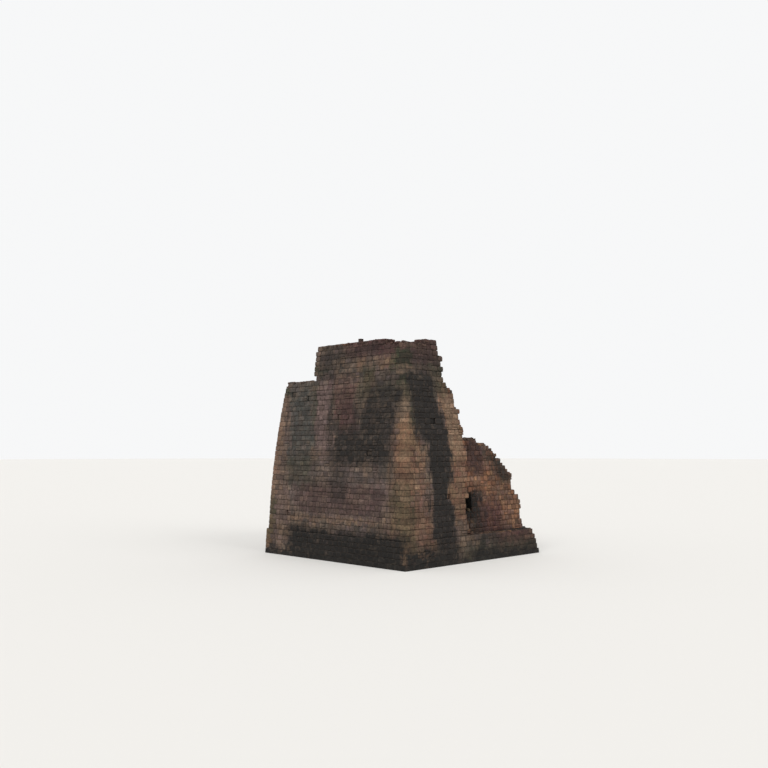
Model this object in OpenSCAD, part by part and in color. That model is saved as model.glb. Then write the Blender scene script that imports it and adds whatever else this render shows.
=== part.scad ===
// Ruined square coastal watchtower of coursed soft limestone, with leaning outer faces,
// a rubble core, a lined room and the stub of its barrel vault.
// The origin is the centre of the foot, at ground level. +Z is up, the front wall faces -Y
// and the right wall faces +X.

/* [Tower] */
// Length of each side at the ground
base_side = 9600; // [9000:50:10200]
// Thickness of each wall at the ground
wall_t = 2300; // [2100:50:2500]
// Inward lean of the outer faces above the footing, in mm for each metre of height
wall_lean = 84; // [60:2:100]
// How far the outer faces swell out at mid-height, past a straight line from footing to terrace
wall_swell = 110; // [0:10:150]
// Height of the courses left standing, up to the top of the parapet
tower_h = 10080; // [9600:20:10700]

/* [Footing] */
// Number of courses in the footing
footing_courses = 5; // [4:1:7]
// Inward lean of the footing's face, in mm for each metre of height
footing_lean = 45; // [0:5:60]
// Width of the ledge on top of the footing
footing_ledge = 70; // [30:5:120]

/* [Walls] */
// Number of courses from the footing up to the terrace
wall_courses = 30; // [28:1:34]
// Thickness of the squared facing outside
facing_t = 450; // [350:10:520]
// Thickness of the lining inside, and of the vault that springs from it
lining_t = 320; // [250:10:400]
// Length of a long quoin
quoin_long = 820; // [600:10:900]
// Length of a short quoin
quoin_short = 500; // [460:10:580]
// Height of the open bed joints between the courses, and how deep the weather has raked them
joint_h = 20; // [10:2:30]
joint_d = 30; // [10:5:50]

/* [Terrace and parapet] */
// Thickness of the paving slabs
paving_t = 120; // [80:5:160]
// Width of a paving slab
slab_w = 620; // [450:10:800]
// Depth of rubble fill over the crown of the vault
crown_fill = 180; // [120:10:300]
// Number of courses left in the parapet at the front
parapet_courses = 7; // [6:1:8]
// Thickness of the parapet at its foot
parapet_t = 760; // [650:10:900]
// Width, depth and height of the last stone left on the parapet
cap_w = 160; // [120:10:350]
cap_d = 180; // [120:10:400]
cap_h = 160; // [80:10:200]

/* [Vault] */
// Number of courses of voussoirs round the vault, from springing to springing
vault_courses = 21; // [15:2:27]
// Length of fill left over the vault behind the front wall
front_fill = 1000; // [700:50:1050]
// Reach of the benches of fill left over the left haunch, from the back of the lining
bench_reach = 760; // [500:20:900]

/* [Damage] */
// How far the broken ends of the courses stray from their line
roughness = 110; // [0:10:140]
// How far every other course of a broken facing stands out past the next one
tooth_l = 60; // [0:10:200]
// Number of strips of rubble, each broken by itself, through the thickness of a broken core
core_strips = 3; // [1:1:4]
// Length of the blocks lost from the top course of a worn wall
block_l = 430; // [300:10:520]
// Size of the chamfer where the top of the front left corner has worn off
corner_wear = 170; // [50:10:220]
// Width and depth of the pocket that a lost facing block leaves
pocket_w = 330; // [250:10:420]
pocket_d = 200; // [100:10:280]
// Width, height and depth of the hollow in the bare core of the right wall
hollow_w = 700; // [400:20:900]
hollow_h = 860; // [500:20:1000]
hollow_d = 480; // [200:20:700]

/* [Hidden] */

// Heights
course_h = tower_h / (footing_courses + wall_courses + parapet_courses);
footing_h = footing_courses * course_h;
terrace_course = footing_courses + wall_courses;
terrace_z = terrace_course * course_h;
deck_z = terrace_z - paving_t;
front_top_course = terrace_course + parapet_courses;
corner_top_course = front_top_course - 1;

// The room and its vault
room_r = base_side / 2 - wall_t;
vault_out = room_r + lining_t;
springing_z = deck_z - crown_fill - vault_out;
vault_step = 180 / vault_courses;

// How much of each broken wall still stands: course number, length from the sound corner
RIGHT_FACING_BREAK = [
    [5, 4250], [23, 4290], [25, 4130], [28, 3990], [31, 3920], [32, 3750],
    [33.5, 3420], [35, 3240], [38, 3170], [40, 3010], [42, 3040]
];
RIGHT_CORE_BREAK = [
    [0, base_side], [2, 9400], [5, 9200], [7, 8980], [9, 8850], [10, 8980], [11.5, 8830], [13, 8450],
    [15.5, 8350], [17, 7980], [19, 7520], [21.1, 6880], [22.2, 6180], [22.9, 5700], [23.1, 4500],
    [28, 4150], [31, 4000], [35, 3300]
];
RIGHT_LINING_BREAK = [[5, base_side - wall_t], [12, base_side - wall_t], [15, 6900], [18, 6300], [21, 5600], [23, 5100]];
BACK_BREAK = [
    [0, base_side], [2, 9200], [5, 8700], [8, 8100], [11, 7600], [14, 7200], [17, 6600],
    [20, 5800], [22, 5000], [25, 4200], [28, 3400], [32, 2700], [34, 2100], [35, 1500]
];
// How far each strip of core, from the outside in, stands out past the line of the break
STRIP_REACH = [0, 190, 60, -120];
// Lost facing blocks of a wall: distance from the near corner, course number
FRONT_POCKETS = [[8060, 32], [6820, 31], [7790, 8], [2350, 20], [4480, 27]];
RIGHT_POCKETS = [[2780, 12], [2100, 26]];
// Left end of the parapet, and the right end of its last course, from the near corner
FRONT_PARAPET_END = 6710;
FRONT_TOP_COURSE_END = 2050;
// The worn blocks left on top of the right parapet: start from the near corner, share of a course
RIGHT_STUB_START = 2180;
RIGHT_STUB_SHARE = 0.6;
// How much of the vault's courses is left: share of the way round from the left springing, length
VAULT_BREAK = [
    [0, 2 * room_r], [0.26, 2 * room_r - 300], [0.33, 3500], [0.4, 2500], [0.5, 1500], [0.6, 1200],
    [0.8, 1250], [0.9, 1500], [1, 1750]
];
// Lengths of the benches of fill along the left wall, measured from the front lining
BENCH_LENGTHS = [2 * room_r - 100, 4300, 3500];
BENCH_TOPS = [0.4, 0.72, 1];
BENCH_SETBACK = 60;
// Share of the vault's courses that each haunch takes
HAUNCH_SHARE = 0.31;
// Where the hollow starts, from the near corner, and the course it starts at
HOLLOW_START = 4520;
HOLLOW_COURSE = 9.3;
// Where the last stone on the parapet stands, from the near corner, and its set-back
CAP_START = 3780;
CAP_BACK = 110;
// Lengths of paving left behind the parapet and along the left wall
FRONT_PAVING_REACH = 820;
LEFT_PAVING_LENGTH = 3000;
LEFT_PAVING_REACH = 560;

FACING_COLOUR = [0.55, 0.48, 0.43];
QUOIN_COLOUR = [0.62, 0.53, 0.44];
CORE_COLOUR = [0.50, 0.42, 0.36];
LINING_COLOUR = [0.58, 0.52, 0.46];
VAULT_COLOUR = [0.60, 0.54, 0.47];
FILL_COLOUR = [0.44, 0.38, 0.33];
PAVING_COLOUR = [0.56, 0.53, 0.48];

// A steady number from 0 to 1 for item i of a series
function chance(i, series) =
    let (v = sin(i * 127.1 + series * 311.7) * 4375.85)
    v - floor(v);

// Distance of the outer face from the foot's edge at height z
function inset(z) =
    z < footing_h
        ? footing_lean * z / 1000
        : footing_lean * footing_h / 1000 + footing_ledge + wall_lean * (z - footing_h) / 1000;

// How far the outer face stands out at height z, past a straight line
function swell(z) =
    let (share = (z - footing_h) / (terrace_z - footing_h))
    4 * wall_swell * max(0, share * (1 - share));

// Distance of the swollen outer face from the foot's edge at height z
function outer_face(z) = inset(z) - swell(z);

// Half the tower's width at the bottom of course i
function half_at(i) = base_side / 2 - inset(i * course_h);

// Length of the quoin in course i: long on one face is short on the other
function quoin_length(i, turn) = (i + turn) % 2 == 0 ? quoin_long : quoin_short;

// Length of wall left in course i of a broken wall
function standing(i, marks, series, tooth = 0) =
    lookup(i + 0.5, marks) + roughness * (2 * chance(i, series) - 1)
    + (i % 2 == 0 ? tooth : -tooth) / 2;

// Outline of a wall from course a to course b, with lists of where each course starts and ends,
// and the points of a worn top, from the end to the start
function course_outline(a, b, starts, ends, top = []) = concat(
    [for (i = [a : b - 1]) for (up = [0, 1]) [ends[i - a], (i + up) * course_h]],
    top,
    [for (j = [a : b - 1]) for (down = [1, 0])
        let (i = a + b - 1 - j) [starts[i - a], (i + down) * course_h]]
);

// A top edge from x1 back to x0, with some blocks of its last course lost
function worn_top(x0, x1, z, series) =
    let (n = floor((x1 - x0) / block_l), w = (x1 - x0) / n)
    [for (c = [1 : n - 2]) for (back = [0, 1])
        [x1 - (c + back) * w, chance(c, series) > 0.6 ? z - course_h : z]];

// The sound ends of a facing, cut back for the quoins
function quoined_start(a, b) = [for (i = [a : b - 1]) quoin_length(i, 1) - half_at(i)];
function quoined_end(a, b) = [for (i = [a : b - 1]) half_at(i) - quoin_length(i, 0)];
function plain_start(a, b) = [for (i = [a : b - 1]) -base_side / 2];
function plain_end(a, b) = [for (i = [a : b - 1]) base_side / 2];
function broken_end(a, b, marks, series, tooth = 0) =
    [for (i = [a : b - 1]) standing(i, marks, series, tooth) - base_side / 2];
function broken_start(a, b, marks, series, tooth = 0) =
    [for (i = [a : b - 1]) base_side / 2 - standing(i, marks, series, tooth)];
function moved(list, by) = [for (x = list) x + by];

// Puts a wall made along X, with its foot's edge on y = 0, on one side of the tower
module on_side(turns) {
    rotate([0, 0, 90 * turns]) translate([0, -base_side / 2, 0]) children();
}

// A section in y and z run along the wall
module along_wall() {
    translate([-base_side / 2, 0, 0])
        rotate([90, 0, 90]) linear_extrude(base_side) children();
}

// An elevation in x and z run through the wall
module through_wall() {
    translate([0, wall_t, 0]) rotate([90, 0, 0]) linear_extrude(wall_t) children();
}

// The plan of one wall, mitred at both corners
module mitred_plan(top) {
    linear_extrude(top) polygon([
        [-base_side / 2, 0], [base_side / 2, 0], [room_r, wall_t], [-room_r, wall_t]
    ]);
}

// A part of a wall's thickness, cut to an elevation and to the mitres
module leaf(section, outline) {
    intersection() {
        along_wall() polygon(section);
        through_wall() polygon(outline);
        mitred_plan(front_top_course * course_h);
    }
}

// Heights of the bed joints between course a and the top of a leaf
function joint_heights(a, top) =
    [for (i = [a + 1 : ceil((top - joint_h) / course_h) - 1]) i * course_h];

// The bed joints of an outer face, from its top down
function outer_joints(a, top) =
    let (heights = joint_heights(a, top))
    [for (j = [1 : len(heights)]) for (p = [[0, 1], [1, 1], [1, -1], [0, -1]])
        let (z = heights[len(heights) - j] + p[1] * joint_h / 2)
        [outer_face(z) + p[0] * joint_d, z]];

// The bed joints of a lining, from its foot up
function inner_joints(a, top) =
    [for (h = joint_heights(a, top)) for (p = [[0, -1], [1, -1], [1, 1], [0, 1]])
        [wall_t - p[0] * joint_d, h + p[1] * joint_h / 2]];

// Sections of the leaves between two heights
function battered_section(z0, z1, near, far) = [
    [inset(z0) + near, z0], [inset(z0) + far, z0], [inset(z1) + far, z1], [inset(z1) + near, z1]
];
// A share of the core's thickness, from 0 behind the facing to 1 behind the lining
function core_section(z0, z1, from = 0, to = 1) = [
    [core_depth(z0, from), z0], [core_depth(z0, to), z0],
    [core_depth(z1, to), z1], [core_depth(z1, from), z1]
];
function core_depth(z, share) =
    (inset(z) + facing_t) * (1 - share) + (wall_t - lining_t) * share;
function lining_section(z0, z1) = concat(
    [[wall_t - lining_t, z0], [wall_t, z0]],
    inner_joints(footing_courses, z1),
    [[wall_t, z1], [wall_t - lining_t, z1]]
);
function footing_section() = concat(
    [[0, 0], [wall_t, 0], [wall_t, footing_h], [footing_lean * footing_h / 1000, footing_h]],
    outer_joints(0, footing_h)
);
function facing_section() = concat(
    battered_section(footing_h, terrace_z, 0, facing_t),
    outer_joints(footing_courses, terrace_z)
);

module footing(outline) {
    color(FACING_COLOUR) leaf(footing_section(), outline);
}

module front_footing() {
    on_side(0) footing(course_outline(0, footing_courses,
        plain_start(0, footing_courses), plain_end(0, footing_courses)));
}

module right_footing() {
    on_side(1) footing(course_outline(0, footing_courses,
        plain_start(0, footing_courses), broken_end(0, footing_courses, RIGHT_CORE_BREAK, 1)));
}

module back_footing() {
    on_side(2) footing(course_outline(0, footing_courses,
        broken_start(0, footing_courses, BACK_BREAK, 2), plain_end(0, footing_courses)));
}

module left_footing() {
    on_side(3) footing(course_outline(0, footing_courses,
        plain_start(0, footing_courses), plain_end(0, footing_courses)));
}

// The squared facing of one wall, less the pockets of its lost blocks
module facing(outline, pockets = []) {
    color(FACING_COLOUR) difference() {
        leaf(facing_section(), outline);
        for (p = pockets)
            translate([p[0], 0, p[1] * course_h])
                cube([pocket_w, outer_face(p[1] * course_h) + pocket_d, course_h]);
    }
}

module front_facing() {
    on_side(0) facing(course_outline(footing_courses, terrace_course,
            quoined_start(footing_courses, terrace_course),
            quoined_end(footing_courses, terrace_course)),
        [for (p = FRONT_POCKETS) [base_side / 2 - p[0] - pocket_w, p[1]]]);
}

module right_facing() {
    on_side(1) facing(course_outline(footing_courses, terrace_course,
            quoined_start(footing_courses, terrace_course),
            broken_end(footing_courses, terrace_course, RIGHT_FACING_BREAK, 3, tooth_l)),
        [for (p = RIGHT_POCKETS) [p[0] - base_side / 2, p[1]]]);
}

module back_facing() {
    on_side(2) facing(course_outline(footing_courses, terrace_course,
        broken_start(footing_courses, terrace_course, BACK_BREAK, 4, tooth_l),
        quoined_end(footing_courses, terrace_course)));
}

module left_facing() {
    starts = quoined_start(footing_courses, terrace_course);
    ends = quoined_end(footing_courses, terrace_course);
    last = wall_courses - 1;
    on_side(3) facing(course_outline(footing_courses, terrace_course, starts, ends,
        worn_top(starts[last], ends[last], terrace_z, 14)));
}

module core(outline, from = 0, to = 1) {
    color(CORE_COLOUR) leaf(core_section(footing_h, deck_z, from, to), outline);
}

// Share of the core's thickness at the near side of strip s
function strip(s) = s / core_strips;

module front_core() {
    on_side(0) core(course_outline(footing_courses, terrace_course,
        plain_start(footing_courses, terrace_course), plain_end(footing_courses, terrace_course)));
}

module right_core() {
    on_side(1) difference() {
        union() {
            for (s = [0 : core_strips - 1])
                core(course_outline(footing_courses, terrace_course,
                        plain_start(footing_courses, terrace_course),
                        moved(broken_end(footing_courses, terrace_course, RIGHT_CORE_BREAK, 5 + s),
                            STRIP_REACH[s])),
                    strip(s), strip(s + 1));
        }
        translate([HOLLOW_START - base_side / 2, 0, HOLLOW_COURSE * course_h])
            cube([hollow_w, inset(HOLLOW_COURSE * course_h) + facing_t + hollow_d, hollow_h]);
    }
}

module back_core() {
    on_side(2) union() {
        for (s = [0 : core_strips - 1])
            core(course_outline(footing_courses, terrace_course,
                    moved(broken_start(footing_courses, terrace_course, BACK_BREAK, 20 + s),
                        -STRIP_REACH[s]),
                    plain_end(footing_courses, terrace_course)),
                strip(s), strip(s + 1));
    }
}

module left_core() {
    on_side(3) core(course_outline(footing_courses, terrace_course,
        plain_start(footing_courses, terrace_course), plain_end(footing_courses, terrace_course)));
}

module lining(top, outline) {
    color(LINING_COLOUR) leaf(lining_section(footing_h, top), outline);
}

module front_lining() {
    on_side(0) lining(deck_z, course_outline(footing_courses, terrace_course,
        plain_start(footing_courses, terrace_course), plain_end(footing_courses, terrace_course)));
}

module right_lining() {
    on_side(1) lining(springing_z, course_outline(footing_courses, terrace_course,
        plain_start(footing_courses, terrace_course),
        broken_end(footing_courses, terrace_course, RIGHT_LINING_BREAK, 7)));
}

module back_lining() {
    on_side(2) lining(deck_z, course_outline(footing_courses, terrace_course,
        broken_start(footing_courses, terrace_course, BACK_BREAK, 8),
        plain_end(footing_courses, terrace_course)));
}

module left_lining() {
    on_side(3) lining(springing_z, course_outline(footing_courses, terrace_course,
        plain_start(footing_courses, terrace_course), plain_end(footing_courses, terrace_course)));
}

// The long-and-short stack at the corner where one side ends and the next starts
module quoins(side, a, b) {
    color(QUOIN_COLOUR) intersection() {
        union() {
            on_side(side) quoin_arm(a, b, quoined_end(a, b), plain_end(a, b));
            on_side(side + 1) quoin_arm(a, b, plain_start(a, b), quoined_start(a, b));
        }
        on_side(side) along_wall() polygon(outer_section(a, b));
        on_side(side + 1) along_wall() polygon(outer_section(a, b));
    }
}

module quoin_arm(a, b, starts, ends) {
    intersection() {
        along_wall() polygon(battered_section(a * course_h, b * course_h, -wall_swell, facing_t));
        through_wall() polygon(course_outline(a, b, starts, ends));
    }
}

function outer_section(a, b) = concat(
    [[inset(a * course_h), a * course_h], [base_side, a * course_h],
        [base_side, b * course_h], [inset(b * course_h), b * course_h]],
    outer_joints(a, b * course_h)
);

module front_right_quoins() {
    quoins(0, footing_courses, corner_top_course);
}

module front_left_quoins() {
    difference() {
        quoins(3, footing_courses, terrace_course);
        translate([-half_at(terrace_course), -half_at(terrace_course), terrace_z])
            rotate([0, 0, 45]) rotate([0, 45, 0])
            cube([corner_wear * sqrt(2), base_side, corner_wear * sqrt(2)], center = true);
    }
}

module back_left_quoins() {
    quoins(2, footing_courses, terrace_course);
}

// The plan inside the walls' cores, with the front and back linings left out
module vault_plan() {
    linear_extrude(terrace_z) polygon([
        [-vault_out, -vault_out], [-room_r, -room_r], [room_r, -room_r], [vault_out, -vault_out],
        [vault_out, vault_out], [room_r, room_r], [-room_r, room_r], [-vault_out, vault_out]
    ]);
}

// A point of the vault's arch, k courses round from the left springing
function arch_point(r, k) = [-r * cos(k * vault_step), springing_z + r * sin(k * vault_step)];

// A profile in x and z run back from the front lining
module along_vault(length) {
    translate([0, length - room_r, 0])
        rotate([90, 0, 0]) linear_extrude(length + lining_t) children();
}

// The courses of voussoirs from a to b, each as long as the break leaves it
module vault(a, b) {
    color(VAULT_COLOUR) intersection() {
        union() {
            for (k = [a : b - 1])
                along_vault(min(2 * vault_out, lookup((k + 0.5) / vault_courses, VAULT_BREAK)
                    + roughness * (2 * chance(k, 9) - 1)))
                    polygon([
                        arch_point(room_r, k), arch_point(vault_out, k),
                        arch_point(vault_out, k + 1), arch_point(room_r, k + 1)
                    ]);
        }
        vault_plan();
    }
}

left_crown = round(vault_courses * HAUNCH_SHARE);
right_crown = vault_courses - left_crown;

module vault_left_haunch() {
    vault(0, left_crown);
}

module vault_crown() {
    vault(left_crown, right_crown);
}

module vault_right_haunch() {
    vault(right_crown, vault_courses);
}

// Everything under the back of the vault, as a profile in x and z
module under_vault() {
    polygon(concat(
        [[-vault_out, 0]],
        [for (k = [0 : vault_courses]) arch_point(vault_out, k)],
        [[vault_out, 0]]
    ));
}

module fill_block(x0, x1, z0, z1, y0, y1) {
    color(FILL_COLOUR) difference() {
        intersection() {
            translate([x0, y0, z0]) cube([x1 - x0, y1 - y0, z1 - z0]);
            vault_plan();
        }
        along_vault(2 * vault_out) under_vault();
    }
}

module front_vault_fill() {
    fill_block(-vault_out, vault_out, springing_z, deck_z, -vault_out, front_fill - room_r);
}

// Height of the top of bench j, between the springing and the deck
function bench_top(j) = springing_z + (j < 0 ? 0 : BENCH_TOPS[j]) * (deck_z - springing_z);

module left_bench(j) {
    fill_block(-vault_out, bench_reach - vault_out + (2 - j) * BENCH_SETBACK, bench_top(j - 1), bench_top(j),
        front_fill - room_r, BENCH_LENGTHS[j] - room_r);
}

module left_bench_lower() {
    left_bench(0);
}

module left_bench_middle() {
    left_bench(1);
}

module left_bench_upper() {
    left_bench(2);
}

// Distance from the centre to the back of the facing, at the terrace
deck_half = base_side / 2 - inset(terrace_z) - facing_t;

module front_paving() {
    columns = floor(2 * deck_half / slab_w);
    step = 2 * deck_half / columns;
    color(PAVING_COLOUR) translate([0, 0, deck_z]) linear_extrude(paving_t) polygon(concat(
        [[deck_half, -deck_half], [-deck_half, -deck_half]],
        [for (c = [0 : columns - 1]) for (far = [0, 1])
            [-deck_half + (c + far) * step,
                FRONT_PAVING_REACH - room_r + roughness * (2 * chance(c, 10) - 1)]]
    ));
}

module left_paving() {
    rows = floor(LEFT_PAVING_LENGTH / slab_w);
    step = LEFT_PAVING_LENGTH / rows;
    start = FRONT_PAVING_REACH - room_r + roughness;
    color(PAVING_COLOUR) translate([0, 0, deck_z]) linear_extrude(paving_t) polygon(concat(
        [[-deck_half, start + LEFT_PAVING_LENGTH], [-deck_half, start]],
        [for (c = [0 : rows - 1]) for (far = [0, 1])
            [LEFT_PAVING_REACH - vault_out + roughness * (2 * chance(c, 11) - 1),
                start + (c + far) * step]]
    ));
}

// The parapet's stones meet the quoins outside, and are mitred at the corner behind them
module parapet(a, b, starts, ends, inner_starts, inner_ends, top = []) {
    z0 = a * course_h;
    z1 = front_top_course * course_h;
    back = inset(z0) + parapet_t;
    color(FACING_COLOUR) union() {
        leaf(concat([[inset(z0), z0], [back, z0], [back, z1], [inset(z1), z1]], outer_joints(a, z1)),
            course_outline(a, b, starts, ends, top));
        leaf([[inset(z0) + facing_t, z0], [back, z0], [back, z1], [inset(z1) + facing_t, z1]],
            course_outline(a, b, inner_starts, inner_ends, top));
    }
}

module front_parapet() {
    a = terrace_course;
    b = front_top_course;
    starts = [for (i = [a : b - 1]) base_side / 2 - FRONT_PARAPET_END
        + roughness * (2 * chance(i, 12) - 1)];
    ends = [for (i = [a : b - 1]) i < corner_top_course
        ? half_at(i) - quoin_length(i, 0) : base_side / 2 - FRONT_TOP_COURSE_END];
    inner_ends = [for (i = [a : b - 1]) i < corner_top_course
        ? base_side / 2 : base_side / 2 - FRONT_TOP_COURSE_END];
    on_side(0) parapet(a, b, starts, ends, starts, inner_ends);
}

module right_parapet() {
    a = terrace_course;
    b = corner_top_course;
    ends = broken_end(a, b, RIGHT_FACING_BREAK, 13, tooth_l);
    stub_start = RIGHT_STUB_START - base_side / 2;
    stub_end = ends[b - a - 1];
    stub_top = (b + RIGHT_STUB_SHARE) * course_h;
    on_side(1) parapet(a, b, quoined_start(a, b), ends, plain_start(a, b), ends,
        [[stub_end, stub_top], [stub_start, stub_top], [stub_start, b * course_h]]);
}

module cap_stone() {
    color(QUOIN_COLOUR)
        on_side(0)
        translate([base_side / 2 - CAP_START - cap_w,
            inset(front_top_course * course_h) + CAP_BACK, front_top_course * course_h])
        cube([cap_w, cap_d, cap_h]);
}

front_footing();
right_footing();
back_footing();
left_footing();
front_facing();
right_facing();
back_facing();
left_facing();
front_core();
right_core();
back_core();
left_core();
front_lining();
right_lining();
back_lining();
left_lining();
front_right_quoins();
front_left_quoins();
back_left_quoins();
vault_left_haunch();
vault_crown();
vault_right_haunch();
front_vault_fill();
left_bench_lower();
left_bench_middle();
left_bench_upper();
front_paving();
left_paving();
front_parapet();
right_parapet();
cap_stone();
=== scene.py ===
"""Looks of a ruined square coastal watchtower: its blocks, quoins, rubble, voussoirs and slabs,
laid course by course on the fixed solids of its walls, with their weathered stone."""

import math
import random

import bmesh
import bpy
from bpy.props import FloatProperty, FloatVectorProperty, IntProperty, PointerProperty
from mathutils import Euler, Matrix, Vector, noise
from mathutils.bvhtree import BVHTree


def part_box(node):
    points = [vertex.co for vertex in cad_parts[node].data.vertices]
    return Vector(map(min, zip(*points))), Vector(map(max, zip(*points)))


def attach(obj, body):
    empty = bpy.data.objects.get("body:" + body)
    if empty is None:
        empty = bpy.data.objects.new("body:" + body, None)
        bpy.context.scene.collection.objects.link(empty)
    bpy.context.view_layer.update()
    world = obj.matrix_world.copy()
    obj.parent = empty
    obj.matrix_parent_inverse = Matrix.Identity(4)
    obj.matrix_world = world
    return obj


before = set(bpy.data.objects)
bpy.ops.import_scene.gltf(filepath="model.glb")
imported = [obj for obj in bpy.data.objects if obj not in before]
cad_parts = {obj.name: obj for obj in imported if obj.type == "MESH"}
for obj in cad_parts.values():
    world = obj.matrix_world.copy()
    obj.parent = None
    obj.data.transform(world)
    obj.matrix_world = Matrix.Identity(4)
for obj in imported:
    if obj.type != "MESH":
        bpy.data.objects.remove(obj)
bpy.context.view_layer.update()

bl_info = {
    "name": "Ruined Watchtower Masonry",
    "version": (1, 0, 0),
    "blender": (4, 5, 0),
    "location": "3D View > Sidebar > Watchtower",
    "description": "Lays weathered stones on the walls of a ruined square watchtower",
    "category": "Object",
}

SIDES = ("front", "right", "back", "left")
UP = Vector((0.0, 0.0, 1.0))
STANDING_COURSES = 42
FOOTING_COURSES = 5
TERRACE_COURSE = 35
LOW_BAND = range(5, 11)
PARAPET_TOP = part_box("front_parapet")[1].z
COURSE_HEIGHT = PARAPET_TOP / STANDING_COURSES
FOOT_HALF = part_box("front_footing")[1].x
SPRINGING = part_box("vault_left_haunch")[0].z
ROOM_HALF = -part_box("front_lining")[1].y
VAULT_BACK = -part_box("vault_left_haunch")[0].x
# The side that ends at each corner with quoins, and the side that starts at the fallen corner
QUOINED_CORNERS = {"front_right": 0, "back_left": 2, "front_left": 3}
FALLEN_START = 2
# How far the walls and their footing lean in for each metre of height
QUOIN_LEAN = 0.084
FOOT_LEAN = 0.045

# How far outside the tower a line of sight starts, and how finely a course is looked over
LOOK_FROM = 7.0
LOOK_STEP = 0.04
# Share of the blocks that have weathered back almost to their bedding
WORN_AWAY = 0.07
# Share of the blocks that are two thin stones, one on the other
THIN_PAIRS = 0.08
# Two neighbours on one wall face differ in depth by less than this
SAME_FACE = 0.03
# Share of a surface's own direction that a line of sight has to meet
SQUARE_ON = 0.7
# Depth of a step between two faces, and the longest run that can be a pocket behind such steps
STEP_BACK = 0.1
LONGEST_POCKET = 0.45
# Room kept between the stones and the limit of the foot
EDGE_ROOM = 0.002
# Runs stop this far from the foot's corners, and stray at their ends only farther away
CORNER_ROOM = 0.03
STRAY_ROOM = 0.2
# Lengths of the stones of a run, in shares of their mean
LENGTH_SHARES = (0.7, 1.35)
# How far a free end of a run strays, for each kind of stone, and the shortest run that is laid
STRAY = {"squared": 0.05, "rough": 0.1}
SHORTEST_RUN = 0.07
# Share of the rough stones that have dropped out
DROPPED = 0.04
# In joints: how far a block strays up or down, how much it is lower than its course and how much
# shorter than its place
RISE_STRAY = 0.8
HEIGHT_LOSS = (-1.3, 1.5)
LENGTH_LOSS = (0.7, 1.9)
# How far a block strays in depth, and the share of its stand-out that a worn-away one has lost
DEPTH_STRAY = 0.006
WORN_DEPTH = 0.7
# Height of the lower stone of a thin pair, as a share of the course
THIN_SHARES = (0.35, 0.5)
# How askew a stone lies about its length, its height and its depth, in radians
TILTS = (0.018, 0.018, 0.012)
# How much a stone may be flattened or thickened
THICKNESS = (0.04, 1.6)
# Quoins: their stand-out, their loss of height in joints and the width of their worn arris
QUOIN_PROUD = (0.75, 1.1)
QUOIN_HEIGHT_LOSS = (-0.6, 1.1)
QUOIN_ARRIS = (0.9, 1.4)
# How far the stones of a wall swell out and back, and how far they stand forward as a whole
SWELL = {"squared": (0.014, 0.0), "rough": (0.022, 0.012)}
# How deep the stones of the room, the vault and the terrace are let in
LINING_LIFT = -0.012
VAULT_LIFT = -0.014
SLAB_LIFT = -0.008
# Heights of the lowest top with loose stones, of the foot's ledge, where few lie, and of the
# highest broken tread, where they lie thicker
LOWEST_TOP = 1.0
LEDGE_TOP = 1.3
TREAD_TOP = 8.2
# Loose stones: how far they stray in shares of their pitch, and their lengths, widths, lifts and
# thicknesses
LOOSE_STRAY = 0.35
LOOSE_LENGTHS = (0.18, 0.32)
LOOSE_WIDTHS = (0.15, 0.24)
LOOSE_LIFTS = (-0.035, 0.01)
LOOSE_THICKNESSES = (0.7, 1.0)
# How far round a loose stone its bed is looked over, and in what share of directions it has to be level
LEVEL_REACH = 0.07
LEAST_LEVEL = 0.45
# What is added to the seed for each part, for each side of it in the second place
SEEDS = {"walls": (0, 1000), "quoins": (0, 50), "lining": (7000, 100), "vault": (9000, 0),
         "tops": (12000, 0), "slabs": (15000, 0)}


def shade(red, green, blue):
    """A colour given in 8-bit steps, as the linear values that a shader takes."""
    return tuple(round(((step / 255 + 0.055) / 1.055) ** 2.4, 4) for step in (red, green, blue))


def colour(name, description, value):
    return FloatVectorProperty(name=name, description=description, subtype="COLOR", size=3,
                               min=0.0, max=1.0, default=value)


def length(name, description, value):
    return FloatProperty(name=name, description=description, subtype="DISTANCE", unit="LENGTH",
                         min=0.0, default=value)


class TOWER_PG_masonry(bpy.types.PropertyGroup):
    """Sizes of the stones and their joints"""
    block_length: length("Block length", "Mean length of a squared block", 0.34)
    low_length: length("Low band block length", "Mean length of a block in the low band of the front", 0.25)
    rough_length: length("Rough stone length", "Mean length of a stone in the bare core", 0.27)
    lining_length: length("Lining block length", "Mean length of a block inside", 0.42)
    voussoir_length: length("Voussoir length", "Mean length of a voussoir along the vault", 0.46)
    joint: length("Joint", "Width of the joints between the blocks", 0.012)
    proud: length("Stand-out", "How far the blocks stand out of their worn mortar", 0.02)
    bed: length("Bed", "How deep the blocks run into the wall", 0.11)
    arris: length("Worn arris", "Width of the rounded edge of a block", 0.022)
    quoin_long: length("Long quoin", "Length of the long side of a corner block", 0.52)
    quoin_short: length("Short quoin", "Length of the short side of a corner block", 0.31)
    slab_length: length("Slab length", "Length of a paving slab", 0.62)
    slab_width: length("Slab width", "Width of a paving slab", 0.46)
    rubble_pitch: length("Rubble pitch", "Spacing of the loose stones on a broken top", 0.17)
    worn_back: length("Worn-back block", "Thickness left of a block that has worn back", 0.12)
    vault_courses: IntProperty(name="Vault courses", min=3, default=21,
                               description="Courses of voussoirs round the vault")
    seed: IntProperty(name="Seed", description="Changes every chance lie of a stone", default=7)


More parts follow.
